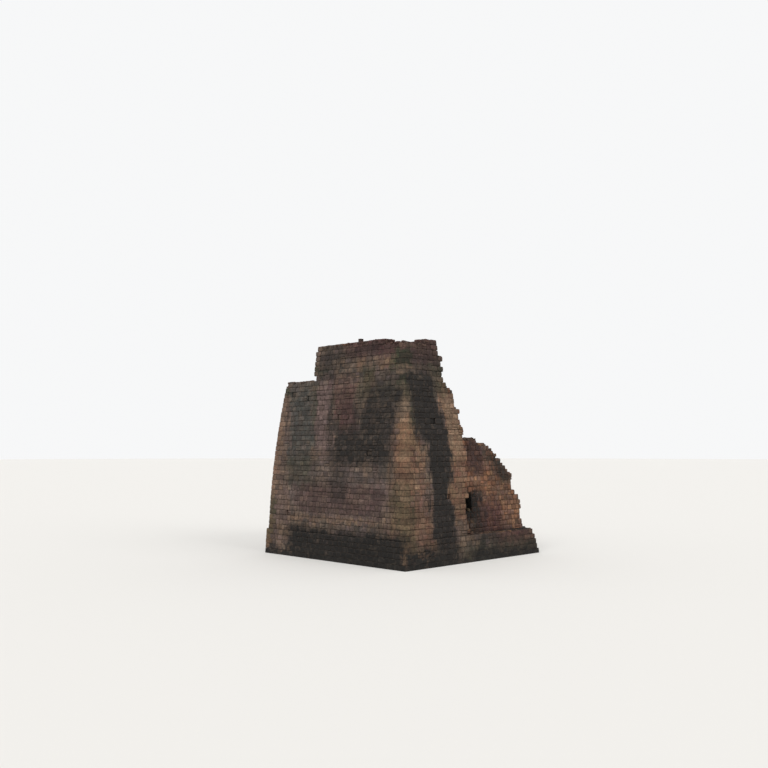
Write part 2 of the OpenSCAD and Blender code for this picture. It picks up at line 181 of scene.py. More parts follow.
class TOWER_PG_colours(bpy.types.PropertyGroup):
    """Colours of the stone, its crusts and its mortar. They are partly the stone's own colours and partly
    painted shade: all are kept darker than clean stone, for the shade its faces stand in.
    """
    warm: colour("Warm limestone", "Worn, clean blocks", shade(105, 85, 69))
    golden: colour("Golden limestone", "Where the weather has worn the face away", shade(112, 88, 64))
    pink: colour("Pinkish limestone", "Weathered blocks", shade(84, 68, 65))
    grey: colour("Greyish limestone", "Weathered blocks", shade(76, 71, 68))
    pale: colour("Pale limestone", "The lightest blocks", shade(126, 106, 88))
    # Used for rain runs and dark stains, and also as painted shade round the hollow of the bare core
    crust_and_shade: colour("Dark crust", "Where rain runs down", shade(32, 29, 27))
    grey_film: colour("Grey film", "Grey weathered runs", shade(56, 57, 54))
    red_film: colour("Red film", "Red-brown weathered runs", shade(63, 41, 40))
    green_film: colour("Green film", "Algae on damp stone", shade(45, 49, 34))
    rose: colour("Rose film", "Lighter, pinkish runs", shade(90, 74, 71))
    # Used for the damp foot, and also as painted shade round the hollow of the bare core
    damp_and_shade: colour("Damp foot", "Stone darkened by ground damp", shade(25, 23, 21))
    mortar: colour("Mortar", "Weathered lime mortar in the joints", shade(72, 61, 53))
    earth: colour("Core mortar", "Earthy mortar of the rubble core", shade(84, 59, 45))
    core_stone: colour("Core stone", "Rubble of the core", shade(116, 78, 56))
    core_pale: colour("Pale core stone", "Lighter rubble of the core", shade(130, 96, 69))
    inner: colour("Inner stone", "Lining and vault", shade(108, 95, 80))


class TOWER_PG_stage(bpy.types.PropertyGroup):
    """Camera, lamps and floor"""
    eye: FloatVectorProperty(name="Camera place", description="Where the camera stands",
                             subtype="TRANSLATION", unit="LENGTH", default=(30.30, -31.517, 5.163))
    pitch: FloatProperty(name="Camera pitch", description="Upward tilt of the camera",
                         subtype="ANGLE", default=math.radians(4.202))
    heading: FloatProperty(name="Camera heading", description="Turn of the camera about the vertical",
                           subtype="ANGLE", default=math.radians(45.05))
    lens: FloatProperty(name="Lens", description="Focal length", unit="CAMERA", default=40.87)
    key: FloatProperty(name="Key lamp", description="Strength of the main lamp", default=2.1)
    fill: FloatProperty(name="Sky", description="Strength of the even light", default=0.62)
    floor: colour("Floor", "Pale floor", shade(222, 220, 216))


def chance_for(part, side=0, course=0):
    """The chance of one course of a part, the same on each run."""
    added, for_side = SEEDS[part]
    return random.Random(bpy.context.scene.tower_masonry.seed + added + for_side * side + course)


# Looking over the solids

def survey_solids():
    """One tree of every solid's faces, and the name of the solid that owns each face."""
    points = []
    faces = []
    owners = []
    for name, solid in sorted(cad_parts.items()):
        first = len(points)
        points.extend(vertex.co.copy() for vertex in solid.data.vertices)
        for face in solid.data.polygons:
            faces.append([first + index for index in face.vertices])
            owners.append(name)
    return BVHTree.FromPolygons(points, faces), owners


TREE, OWNERS = survey_solids()


def look(origin, direction, reach=20.0):
    """The first surface met, as its point, its normal and its solid's name, or None."""
    point, normal, index, _ = TREE.ray_cast(origin, direction, reach)
    if point is None or normal.dot(direction) > -SQUARE_ON:
        return None
    return point, normal, OWNERS[index]


def side_axes(side):
    """Directions along a wall, seen from outside to the right, and out of it."""
    turn = math.radians(90 * side)
    along = Vector((round(math.cos(turn)), round(math.sin(turn)), 0.0))
    return along, along.cross(UP)


def find_runs(samples):
    """Joins neighbouring samples on one solid's face into runs of (first, last, sample)."""
    runs = []
    for at, depth, hit in samples:
        last = runs[-1] if runs else None
        near = last and at - last["end"] < 1.5 * LOOK_STEP and abs(depth - last["depth"]) < SAME_FACE
        if near and hit[2] == last["node"]:
            last["end"] = at
            last["depth"] = depth
            last["hits"].append(hit)
        else:
            runs.append({"start": at, "end": at, "depth": depth, "node": hit[2], "hits": [hit]})
    for run in runs:
        run["start"] -= LOOK_STEP / 2
        run["end"] += LOOK_STEP / 2
    return runs


def course_runs(side, height, from_inside=False):
    """What shows of one course, looked at square-on from outside or from the middle of the room."""
    along, out = side_axes(side)
    start = 0.0 if from_inside else LOOK_FROM
    direction = out if from_inside else -out
    half = ROOM_HALF if from_inside else FOOT_HALF + LOOK_STEP
    samples = []
    for step in range(round(2 * half / LOOK_STEP) + 1):
        at = step * LOOK_STEP - half
        hit = look(along * at + out * start + UP * height, direction)
        if hit:
            samples.append((at, hit[0].dot(out), hit))
    return find_runs(samples)


# Shapes of single stones

# How far the middle of a block's face is hollow or swollen, and how far its face and outline stray
FACE_SWELL = (-0.006, 0.012)
FACE_STRAY = 0.007
OUTLINE_STRAY = 0.009
# Share of the stand-out by which a block's rounded shoulder falls back from its face
SHOULDER_FALL = 0.75
# How near to the joint the parts of a stone count, for the dirt and the painted shade in the joints; a loose
# lump gets more of them at its foot than at its top
FACE_MIDDLE = 0.0
LUMP_TOP = 0.2
FACE_EDGE = 0.25
SHOULDER = 0.8
LUMP_FOOT = 0.9
BED = 1.0
# How far the points of loose lumps and of quoins stray
LUMP_STRAY = 0.045
QUOIN_STRAY = 0.014


def far_place(chance, axes):
    """A place far off in the noise, so that no two stones are alike."""
    return Vector([chance.uniform(-50, 50) for _ in range(axes)] + [0] * (3 - axes))


def soften(stone, points, factor):
    bmesh.ops.smooth_vert(stone, verts=points, factor=factor, use_axis_x=True, use_axis_y=True,
                          use_axis_z=True)


# Places in the noise, far enough apart for three unlike values
UNEVEN_SHIFTS = (Vector((9.3, -1.5, -8.0)), Vector((0.0, 0.0, 0.0)), Vector((6.3, 0.2, -2.7)))


def uneven(place):
    """A shift of up to 1 along each axis that depends on the place alone, so each run gives the same."""
    return Vector([noise.noise(place + shift) for shift in UNEVEN_SHIFTS])


def add_rim_layer(stone):
    """Marks how near a point is to the joint, for the dirt and the painted shade that gather there."""
    return stone.verts.layers.float.get("rim") or stone.verts.layers.float.new("rim")


def new_edges(made):
    return [item for item in made["geom"] if isinstance(item, bmesh.types.BMEdge)]


def new_points(made):
    return [item for item in made["geom"] if isinstance(item, bmesh.types.BMVert)]


def block_shape(name, size, wear, chance):
    """A worn block: its face is swollen or hollowed, its arrises are round, its bed is in the wall.
    X runs along the wall, Y up and Z out, with the wall's face at Z = 0."""
    settings = bpy.context.scene.tower_masonry
    long, high = size
    arris = min(settings.arris * wear, 0.3 * high)
    stone = bmesh.new()
    rim = add_rim_layer(stone)
    bmesh.ops.create_grid(stone, x_segments=4, y_segments=3, size=0.5)
    face = list(stone.verts)
    bmesh.ops.scale(stone, vec=(long - 2 * arris, high - 2 * arris, 1), verts=face)
    swell = chance.uniform(*FACE_SWELL) * wear
    lie = far_place(chance, 2)
    for vertex in face:
        across = 1 - (2 * vertex.co.x / long) ** 2
        upward = 1 - (2 * vertex.co.y / high) ** 2
        vertex.co.z = settings.proud + swell * across * upward
        vertex.co.z += FACE_STRAY * wear * noise.noise(vertex.co * 14 + lie)
        # The rim marks where joint dirt and painted shade darken the block
        vertex[rim] = FACE_MIDDLE if across * upward > 0.55 else FACE_EDGE
    outline = [edge for edge in stone.edges if edge.is_boundary]
    made = bmesh.ops.extrude_edge_only(stone, edges=outline)
    shoulder = new_points(made)
    bmesh.ops.scale(stone, vec=(long / (long - 2 * arris), high / (high - 2 * arris), 1), verts=shoulder)
    bmesh.ops.translate(stone, vec=(0, 0, -SHOULDER_FALL * settings.proud), verts=shoulder)
    for vertex in shoulder:
        vertex[rim] = SHOULDER
    soften(stone, face + shoulder, 0.4)
    for vertex in shoulder:
        stray = uneven(vertex.co * 9 + lie) * OUTLINE_STRAY * wear
        vertex.co += Vector((stray.x, stray.y, 0))
    edges = [edge for edge in new_edges(made) if edge.is_boundary]
    made = bmesh.ops.extrude_edge_only(stone, edges=edges)
    bed = new_points(made)
    bmesh.ops.translate(stone, vec=(0, 0, -settings.bed), verts=bed)
    for vertex in bed:
        vertex[rim] = BED
    bmesh.ops.holes_fill(stone, edges=[edge for edge in new_edges(made) if edge.is_boundary])
    bmesh.ops.recalc_face_normals(stone, faces=stone.faces)
    return finish_shape(stone, name)


def rubble_shape(name, size, chance):
    """A loose, rounded lump that lies on a broken top, with its bed at Z = 0."""
    stone = bmesh.new()
    rim = add_rim_layer(stone)
    bmesh.ops.create_cube(stone, size=1.0)
    bmesh.ops.subdivide_edges(stone, edges=stone.edges, cuts=1, use_grid_fill=True)
    soften(stone, stone.verts, 0.45)
    bmesh.ops.scale(stone, vec=size, verts=stone.verts)
    lie = far_place(chance, 3)
    for vertex in stone.verts:
        vertex.co += uneven(vertex.co * 6 + lie) * LUMP_STRAY
        # Painted shade and dirt: a lump's foot is marked darker than its top
        vertex[rim] = LUMP_FOOT if vertex.co.z < 0 else LUMP_TOP
    return finish_shape(stone, name)


def finish_shape(stone, name):
    for face in stone.faces:
        face.smooth = True
    mesh = bpy.data.meshes.new(name)
    stone.to_mesh(mesh)
    stone.free()
    return mesh


BLOCK_LENGTHS = (0.24, 0.34, 0.46)
ROUGH_LENGTHS = (0.17, 0.26, 0.36)
RUBBLE_SIZES = ((0.24, 0.18, 0.12), (0.3, 0.22, 0.14), (0.17, 0.15, 0.1))
SHAPES_EACH = 7
SHAPES = {}


def make_shapes():
    """A stock of shapes for each family of stone, longer and shorter ones apart."""
    settings = bpy.context.scene.tower_masonry
    chance = random.Random(settings.seed)
    high = COURSE_HEIGHT - settings.joint
    for family, lengths, wear in (("squared", BLOCK_LENGTHS, 1.0), ("rough", ROUGH_LENGTHS, 1.6)):
        SHAPES[family] = [
            ((long, high), block_shape(f"{family}_{long}_{index}", (long, high), wear, chance))
            for long in lengths for index in range(SHAPES_EACH)
        ]
    SHAPES["rubble"] = [
        (size[:2], rubble_shape(f"rubble_{index}_{size[0]}", size, chance))
        for size in RUBBLE_SIZES for index in range(SHAPES_EACH)
    ]


def pick_shape(family, long, chance):
    """One of the shapes whose own length is nearest the one asked for."""
    if not SHAPES:
        make_shapes()
    nearest = min(abs(size[0] - long) for size, _ in SHAPES[family])
    return chance.choice([entry for entry in SHAPES[family] if abs(entry[0][0] - long) < nearest + 1e-6])


class Heap:
    """Stones gathered into one piece, each a copy of a shape of the stock."""

    def __init__(self):
        self.mesh = bmesh.new()
        self.rim = add_rim_layer(self.mesh)
        self.tone = self.mesh.verts.layers.float.new("tone")
        self.count = 0

    def take(self, shape, matrix, tone):
        """Adds a copy of a shape at a place, with one tone for the whole stone."""
        first = len(self.mesh.verts)
        self.mesh.from_mesh(shape)
        self.mesh.verts.ensure_lookup_table()
        points = self.mesh.verts[first:]
        bmesh.ops.transform(self.mesh, matrix=matrix, verts=points)
        for vertex in points:
            vertex[self.tone] = tone
        self.count += 1

    def lay(self, family, hit, along, size, chance, lift=0.0, thickness=1.0):
        """Lays a stone on the wall's face, a little askew, with its bed in the wall."""
        point, normal, _ = hit
        up = normal.cross(along).normalized()
        (long, high), shape = pick_shape(family, size[0], chance)
        tilt = Euler([chance.gauss(0, reach) for reach in TILTS])
        turn = Matrix((along, up, normal)).transposed().to_4x4()
        deep = max(THICKNESS[0], min(THICKNESS[1], thickness))
        flip = chance.choice((-1.0, 1.0))
        spread = Matrix.Diagonal((flip * size[0] / long, flip * size[1] / high, deep, 1.0))
        place = Matrix.Translation(point + normal * lift * deep)
        self.take(shape, place @ turn @ tilt.to_matrix().to_4x4() @ spread, chance.random())

    def finish(self, name, material, slot):
        """Turns the heap into a piece that rides on the tower, trimmed to the limit of its foot."""
        for vertex in self.mesh.verts:
            x, y, z = vertex.co
            vertex.co = (max(-FOOT_HALF, min(FOOT_HALF, x)), max(-FOOT_HALF, min(FOOT_HALF, y)), max(0.0, z))
        mesh = bpy.data.meshes.new(name)
        self.mesh.to_mesh(mesh)
        self.mesh.free()
        mesh.materials.append(material)
        piece = bpy.data.objects.new(name, mesh)
        bpy.context.scene.collection.objects.link(piece)
        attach(piece, "root")
        return piece


def split_run(start, end, mean, chance):
    """Uneven lengths that fill a run of a course."""
    count = max(1, round((end - start) / mean))
    shares = [chance.uniform(*LENGTH_SHARES) for _ in range(count)]
    scale = (end - start) / sum(shares)
    at = start
    for share in shares:
        yield at, at + share * scale
        at += share * scale


def middle_of(run, first, last, along):
    """The sample nearest to the middle of a stretch of a run, moved to the middle itself."""
    middle = (first + last) / 2
    share = (middle - run["start"]) / (run["end"] - run["start"])
    hits = run["hits"]
    point, normal, name = hits[max(0, min(len(hits) - 1, int(share * len(hits))))]
    return point + along * (middle - point.dot(along)), normal, name


def fill_runs(heap, runs, along, mean, high, lift, chance, facing=1):
    """Fills runs with squared stones of one height, turned over where facing is -1."""
    joint = bpy.context.scene.tower_masonry.joint
    for run in runs:
        for first, last in split_run(run["start"], run["end"], mean, chance):
            size = (last - first - joint, high)
            heap.lay("squared", middle_of(run, first, last, along), facing * along, size, chance, lift)


def wall_swell(place, kind):
    """How far a stone stands out or back, by the slow swell of the wall where it lies."""
    reach, forward = SWELL[kind]
    return forward + reach * noise.noise(place * 0.9) + 0.6 * reach * noise.noise(place * 3.1)


def outer_style(side, node):
    """Which kind of stone covers a solid where it is seen from outside on one side."""
    wall = node.split("_")[0]
    opposite = wall == SIDES[(side + 2) % 4]
    if node.endswith("quoins"):
        return "quoin"
    if node.endswith("paving") or node.startswith("vault") or node == "cap_stone":
        return None
    if opposite and not node.endswith(("parapet", "core", "fill", "lower", "middle", "upper")):
        return None
    if node.endswith("parapet") or (wall == SIDES[side] and node.endswith(("facing", "footing"))):
        return "squared"
    return "rough"


QUOIN_RUNS = {}


def stands_free(run, neighbour):
    """True where a run ends in the open, or over a face that lies well behind it."""
    if neighbour is None:
        return True
    gap = max(neighbour["start"] - run["end"], run["start"] - neighbour["end"])
    return gap > 2 * LOOK_STEP or run["depth"] - neighbour["depth"] > STEP_BACK


def lies_back(run, before, after):
    """True for a short run with faces that stand out on both sides of it."""
    if before is None or after is None or run["end"] - run["start"] > LONGEST_POCKET:
        return False
    return min(before["depth"], after["depth"]) - run["depth"] > STEP_BACK


def lay_course(heaps, side, course, chance):
    """Lays what shows of one course of one side, and notes how long its quoins are."""
    settings = bpy.context.scene.tower_masonry
    along, out = side_axes(side)
    height = (course + 0.5) * COURSE_HEIGHT
    low = side % 2 == 0 and course in LOW_BAND
    means = {"squared": settings.low_length if low else settings.block_length,
             "rough": settings.rough_length}
    runs = course_runs(side, height)
    for before, run, after in zip([None, *runs], runs, [*runs[1:], None]):
        style = outer_style(side, run["node"])
        corner = side in QUOINED_CORNERS.values() and abs(abs(run["end"]) - run["depth"]) < 2 * LOOK_STEP
        corner_start = side != FALLEN_START and abs(abs(run["start"]) - run["depth"]) < 2 * LOOK_STEP
        start = max(run["start"], CORNER_ROOM - FOOT_HALF)
        end = min(run["end"], FOOT_HALF - CORNER_ROOM)
        if style is None:
            continue
        if style == "quoin" or (style == "squared" and run["node"].endswith("footing")):
            style = "squared"
            cuts = settings.quoin_long, settings.quoin_short
            if corner_start:
                cut = cuts[course % 2]
                QUOIN_RUNS[side, course, "start"] = cut, run["depth"]
                start += cut
            if corner:
                cut = cuts[(course + 1) % 2]
                QUOIN_RUNS[side, course, "end"] = cut, run["depth"]
                end -= cut
        if end - start < SHORTEST_RUN:
            continue
        free_start = not corner_start and stands_free(run, before)
        free_end = not corner and stands_free(run, after)
        stray = STRAY[style]
        start -= chance.uniform(-stray, stray) * (free_start and start > STRAY_ROOM - FOOT_HALF)
        end += chance.uniform(-stray, stray) * (free_end and end < FOOT_HALF - STRAY_ROOM)
        back = settings.worn_back if lies_back(run, before, after) else 0.0
        for first, last in split_run(start, end, means[style], chance):
            if style == "rough" and chance.random() < DROPPED:
                continue
            place, normal, name = middle_of(run, first, last, along)
            place.z += chance.uniform(-RISE_STRAY, RISE_STRAY) * settings.joint
            high = COURSE_HEIGHT - settings.joint * chance.uniform(*HEIGHT_LOSS)
            size = (last - first - settings.joint * chance.uniform(*LENGTH_LOSS), high)
            thick = min(1.0, (FOOT_HALF - EDGE_ROOM - run["depth"]) / (settings.proud + 0.02))
            broken = (first == start and free_start) or (last > end - 0.01 and free_end)
            kind = "rough" if broken else style
            lift = back + wall_swell(place, kind) + chance.gauss(0.0, DEPTH_STRAY)
            if chance.random() < WORN_AWAY:
                lift -= WORN_DEPTH * settings.proud
            offsets = (0.0,)
            if chance.random() < THIN_PAIRS:
                share = chance.uniform(*THIN_SHARES)
                offsets = (share - 1) / 2, share / 2
            upward = normal.cross(along).normalized()
            for offset in offsets:
                part = 1 - 2 * abs(offset)
                spot = place + upward * offset * COURSE_HEIGHT
                thin = (size[0], size[1] * part - settings.joint * (part < 1))
                heaps[style].lay(kind, (spot, normal, name), along, thin, chance, lift, thick)


def lay_side(side):
    """All the courses of one side, as its squared blocks and the rough stones of its broken parts."""
    heaps = {"squared": Heap(), "rough": Heap()}
    for course in range(STANDING_COURSES):
        lay_course(heaps, side, course, chance_for("walls", side, course))
    name = SIDES[side]
    heaps["squared"].finish(f"{name}_wall_blocks", bpy.data.materials[f"{name}_blocks"], "facing_stone")
    if heaps["rough"].count:
        heaps["rough"].finish(f"{name}_broken_stones", bpy.data.materials["broken_stones"], "rubble_core")


def quoin_block(heap, side, course, chance):
    """One corner block, seen on two sides, from the corner where this side ends."""
    settings = bpy.context.scene.tower_masonry
    near = QUOIN_RUNS.get((side, course, "end"))
    far = QUOIN_RUNS.get(((side + 1) % 4, course, "start"))
    if not near or not far:
        return
    along, out = side_axes(side)
    inward = -out
    half = near[1]
    proud = min(settings.proud * chance.uniform(*QUOIN_PROUD), FOOT_HALF - EDGE_ROOM - half)
    if course < FOOTING_COURSES:
        proud = min(proud, FOOT_HALF - EDGE_ROOM - half - FOOT_LEAN * COURSE_HEIGHT / 2)
    sizes = (near[0] - settings.joint / 2, far[0] - settings.joint / 2)
    high = COURSE_HEIGHT - settings.joint * chance.uniform(*QUOIN_HEIGHT_LOSS)
    stone = bmesh.new()
    rim = add_rim_layer(stone)
    bmesh.ops.create_cube(stone, size=1.0)
    bmesh.ops.scale(stone, vec=(sizes[0] + proud, sizes[1] + proud, high), verts=stone.verts)
    bmesh.ops.subdivide_edges(stone, edges=stone.edges, cuts=2, use_grid_fill=True)
    outer = [edge for edge in stone.edges if edge.calc_face_angle(0) > 1]
    arris = settings.arris * chance.uniform(*QUOIN_ARRIS)
    bmesh.ops.bevel(stone, geom=outer, affect="EDGES", offset=arris, offset_type="OFFSET", segments=2,
                    profile=0.5, material=-1)
    lean = QUOIN_LEAN if course >= FOOTING_COURSES else FOOT_LEAN
    lie = far_place(chance, 2)
    reach = Vector(((sizes[0] + proud) / 2, (sizes[1] + proud) / 2, high / 2))
    for vertex in stone.verts:
        depth = min(reach.x - vertex.co.x, vertex.co.y + reach.y)
        edge = max(abs(vertex.co.z) / reach.z, 1 - 8 * max(0, reach.x + vertex.co.x),
                   1 - 8 * max(0, reach.y - vertex.co.y))
        # The rim marks where joint dirt and painted shade darken the quoin, towards its bed and joints
        vertex[rim] = BED if depth > 0.5 * proud and edge > 0.99 else max(0.0, (edge - 0.8) * 3)
        stray = uneven(vertex.co * 6 + lie) * QUOIN_STRAY
        vertex.co += Vector((-abs(stray.x), abs(stray.y), 0.4 * stray.z))
    for vertex in stone.verts:
        vertex.co.x -= lean * vertex.co.z
        vertex.co.y += lean * vertex.co.z
    mesh = finish_shape(stone, "quoin")
    corner = along * (half + proud) + out * (half + proud) + UP * (course + 0.5) * COURSE_HEIGHT
    middle = corner - along * reach.x + inward * reach.y
    turn = Matrix((along, inward, UP)).transposed().to_4x4()
    heap.take(mesh, Matrix.Translation(middle) @ turn, chance.random())
    bpy.data.meshes.remove(mesh)


# Operators, one for each kind of stone

class TOWER_OT_walls(bpy.types.Operator):
    """Lay the squared blocks of the four walls and the rough stones of their broken faces"""
    bl_idname = "tower.lay_walls"
    bl_label = "Wall blocks"

    def execute(self, context):
        for side in range(len(SIDES)):
            lay_side(side)
        return {"FINISHED"}


class TOWER_OT_quoins(bpy.types.Operator):
    """Lay the long-and-short blocks up the three corners that still stand"""
    bl_idname = "tower.lay_quoins"
    bl_label = "Quoins"

    def execute(self, context):
        for corner, side in QUOINED_CORNERS.items():
            heap = Heap()
            for course in range(STANDING_COURSES):
                if corner == "front_left" and course == TERRACE_COURSE - 1:
                    continue
                quoin_block(heap, side, course, chance_for("quoins", side, course))
            heap.finish(f"{corner}_quoin_blocks", bpy.data.materials["quoin_blocks"], "quoin_stone")
        return {"FINISHED"}


class TOWER_OT_lining(bpy.types.Operator):
    """Lay the blocks of the room's lining, as seen from inside it"""
    bl_idname = "tower.lay_lining"
    bl_label = "Lining blocks"

    def execute(self, context):
        settings = context.scene.tower_masonry
        for side, name in enumerate(SIDES):
            heap = Heap()
            along, out = side_axes(side)
            for course in range(TERRACE_COURSE):
                chance = chance_for("lining", side, course)
                height = (course + 0.5) * COURSE_HEIGHT
                runs = [run for run in course_runs(side, height, from_inside=True)
                        if run["node"] in (f"{name}_lining", f"{name}_footing")]
                fill_runs(heap, runs, along, settings.lining_length, COURSE_HEIGHT - settings.joint,
                          LINING_LIFT, chance, facing=-1)
            heap.finish(f"{name}_lining_blocks", bpy.data.materials["inner_blocks"], "lining_stone")
        return {"FINISHED"}


def vault_direction(angle):
    """Out from the vault's axis, at an angle round from its left springing."""
    return Vector((-math.cos(angle), 0.0, math.sin(angle)))


class TOWER_OT_vault(bpy.types.Operator):
    """Lay the voussoirs under the vault, on its bare back and on its broken end"""
    bl_idname = "tower.lay_vault"
    bl_label = "Voussoirs"

    def execute(self, context):
        settings = context.scene.tower_masonry
        under = Heap()
        back = Heap()
        step = math.pi / settings.vault_courses
        along = Vector((0.0, 1.0, 0.0))
        for course in range(settings.vault_courses):
            chance = chance_for("vault", course=course)
            outward = vault_direction((course + 0.5) * step)
            for heap, start, toward, radius in (
                    (under, 0.0, outward, ROOM_HALF), (back, VAULT_BACK + 0.3, -outward, VAULT_BACK)):
                high = 2 * radius * math.sin(step / 2) - settings.joint
                samples = []
                for place in range(round(2 * ROOM_HALF / LOOK_STEP) + 1):
                    at = place * LOOK_STEP - ROOM_HALF
                    hit = look(UP * SPRINGING + along * at + outward * start, toward, 3.2)
                    if hit and hit[2].startswith("vault"):
                        samples.append((at, hit[0].dot(outward), hit))
                fill_runs(heap, find_runs(samples), along, settings.voussoir_length, high, VAULT_LIFT, chance)
            middle = UP * SPRINGING + outward * (ROOM_HALF + VAULT_BACK) / 2
            hit = look(middle + along * LOOK_FROM, -along)
            if hit and hit[2].startswith("vault"):
                size = (VAULT_BACK - ROOM_HALF, 2 * ROOM_HALF * math.sin(step / 2))
                back.lay("rough", hit, outward, size, chance)
        under.finish("vault_voussoirs", bpy.data.materials["inner_blocks"], "vault_stone")
        back.finish("vault_back_stones", bpy.data.materials["broken_stones"], "vault_stone")
        return {"FINISHED"}


RING = [Vector((math.cos(step * math.pi / 4), math.sin(step * math.pi / 4), 0)) for step in range(8)]


def level_share(point):
    """Share of the places round a point that lie level with it."""
    level = 0
    for direction in RING:
        hit = look(point + direction * LEVEL_REACH + UP * 0.5, -UP, 0.6)
        if hit and abs(hit[0].z - point.z) < 0.04:
            level += 1
    return level / len(RING)


class TOWER_OT_tops(bpy.types.Operator):
    """Scatter rubble on every broken top, tread and ledge, and lay the slabs of the terrace"""
    bl_idname = "tower.lay_tops"
    bl_label = "Broken tops and slabs"

    def execute(self, context):
        settings = context.scene.tower_masonry
        chance = chance_for("tops")
        rubble = Heap()
        pitch = settings.rubble_pitch
        count = round(FOOT_HALF / pitch)
        for row in range(-count, count + 1):
            for column in range(-count, count + 1):
                x = (column + chance.uniform(-LOOSE_STRAY, LOOSE_STRAY)) * pitch
                y = (row + chance.uniform(-LOOSE_STRAY, LOOSE_STRAY)) * pitch
                size = Vector((chance.uniform(*LOOSE_LENGTHS), chance.uniform(*LOOSE_WIDTHS), 0))
                turn = chance.uniform(0, math.pi)
                hit = look(Vector((x, y, LOOK_FROM + 5)), -UP)
                if not hit or hit[2].endswith("paving") or hit[2] == "cap_stone" or hit[0].z < LOWEST_TOP:
                    continue
                share = level_share(hit[0])
                if share < LEAST_LEVEL or (hit[0].z < LEDGE_TOP and share < 1):
                    continue
                along = Vector((math.cos(turn), math.sin(turn), 0)).cross(hit[1]).normalized()
                size *= 0.6 + 0.4 * share
                lift = chance.uniform(*LOOSE_LIFTS) - 0.05 * (hit[0].z > PARAPET_TOP - 0.01)
                thick = chance.uniform(*LOOSE_THICKNESSES)
                if LEDGE_TOP < hit[0].z < TREAD_TOP:
                    lift += 0.03
                    thick += 0.6
                rubble.lay("rubble", hit, along, size, chance, lift, thick)
        rubble.finish("wall_top_rubble", bpy.data.materials["top_stones"], "rubble_fill")
        self.lay_slabs(settings)
        return {"FINISHED"}

    def lay_slabs(self, settings):
        """Worn slabs in rows, wherever the paving is still there."""
        heap = Heap()
        along = Vector((1.0, 0.0, 0.0))
        rows = round(2 * FOOT_HALF / settings.slab_width)
        for row in range(rows):
            chance = chance_for("slabs", course=row)
            y = (row + 0.5) * settings.slab_width - FOOT_HALF
            samples = []
            for place in range(round(2 * FOOT_HALF / LOOK_STEP)):
                x = place * LOOK_STEP - FOOT_HALF
                hit = look(Vector((x, y, LOOK_FROM + 5)), -UP)
                if hit and hit[2].endswith("paving"):
                    samples.append((x, hit[0].z, hit))
            fill_runs(heap, find_runs(samples), along, settings.slab_length,
                      settings.slab_width - settings.joint, SLAB_LIFT, chance)
        heap.finish("terrace_slabs", bpy.data.materials["slabs"], "paving_stone")


# Materials

class Wire:
    """A value, mask, colour or place of a shader. Sums and products of it are maths nodes."""

    def __init__(self, tree, socket):
        self.tree = tree
        self.socket = socket

    def reckon(self, operation, first, second=0.0):
        return wire(self.tree, "ShaderNodeMath", {0: first, 1: second}, operation=operation)

    def __add__(self, other):
        return self.reckon("ADD", self, other)

    def __sub__(self, other):
        return self.reckon("SUBTRACT", self, other)

    def __rsub__(self, other):
        return self.reckon("SUBTRACT", other, self)

    def __mul__(self, other):
        return self.reckon("MULTIPLY", self, other)

    def most(self, other):
        return self.reckon("MAXIMUM", self, other)

    def size(self):
        return self.reckon("ABSOLUTE", self)

    def fraction(self):
        return self.reckon("FRACT", self)

    def clipped(self):
        """The same value, held between 0 and 1."""
        self.socket.node.use_clamp = True
        return self

    def stretched(self, scale):
        return wire(self.tree, "ShaderNodeMapping", {"Vector": self, "Scale": scale})

    def ramp(self, low, high):
        """0 below the low value, 1 above the high one, and smooth between them."""
        return wire(self.tree, "ShaderNodeMapRange", {"Value": self, "From Min": low, "From Max": high},
                    interpolation_type="SMOOTHSTEP")

    def noise(self, scale, detail=3.0, roughness=0.6):
        return wire(self.tree, "ShaderNodeTexNoise",
                    {"Vector": self, "Scale": scale, "Detail": detail, "Roughness": roughness})


def feed(socket, value):
    """Links a wire to a socket, or sets the socket to a plain value."""
    if isinstance(value, Wire):
        value.tree.links.new(value.socket, socket)
    elif socket.type == "RGBA":
        socket.default_value = (*value[:3], 1.0)
    else:
        socket.default_value = value


def node(tree, kind, inputs=None, **settings):
    """A shader node with its settings and inputs."""
    made = tree.nodes.new(kind)
    for key, value in settings.items():
        setattr(made, key, value)
    for key, value in (inputs or {}).items():
        feed(made.inputs[key], value)
    return made


def wire(tree, kind, inputs=None, output=0, **settings):
    """What one output of a new node gives."""
    return Wire(tree, node(tree, kind, inputs, **settings).outputs[output])


def blend_colour(tree, share, first, second, how="MIX"):
    made = node(tree, "ShaderNodeMix", {0: share}, data_type="RGBA", blend_type=how, clamp_factor=True)
    feed(made.inputs[6], first)
    feed(made.inputs[7], second)
    return Wire(tree, made.outputs[2])


def new_group(name, inputs, outputs):
    """An empty node group with named sockets, as the tree, its inputs and its outputs."""
    tree = bpy.data.node_groups.new(name, "ShaderNodeTree")
    for way, sockets in (("INPUT", inputs), ("OUTPUT", outputs)):
        for socket, kind in sockets.items():
            tree.interface.new_socket(socket, in_out=way, socket_type=f"NodeSocket{kind}")
    entry = tree.nodes.new("NodeGroupInput")
    leave = tree.nodes.new("NodeGroupOutput")
    return tree, {socket: Wire(tree, entry.outputs[socket]) for socket in inputs}, leave.inputs


def use_group(tree, name, inputs):
    """What each output of a group gives, by its name."""
    made = node(tree, "ShaderNodeGroup", node_tree=bpy.data.node_groups[name])
    for key, value in inputs.items():
        feed(made.inputs[key], value)
    return {socket.name: Wire(tree, socket) for socket in made.outputs}


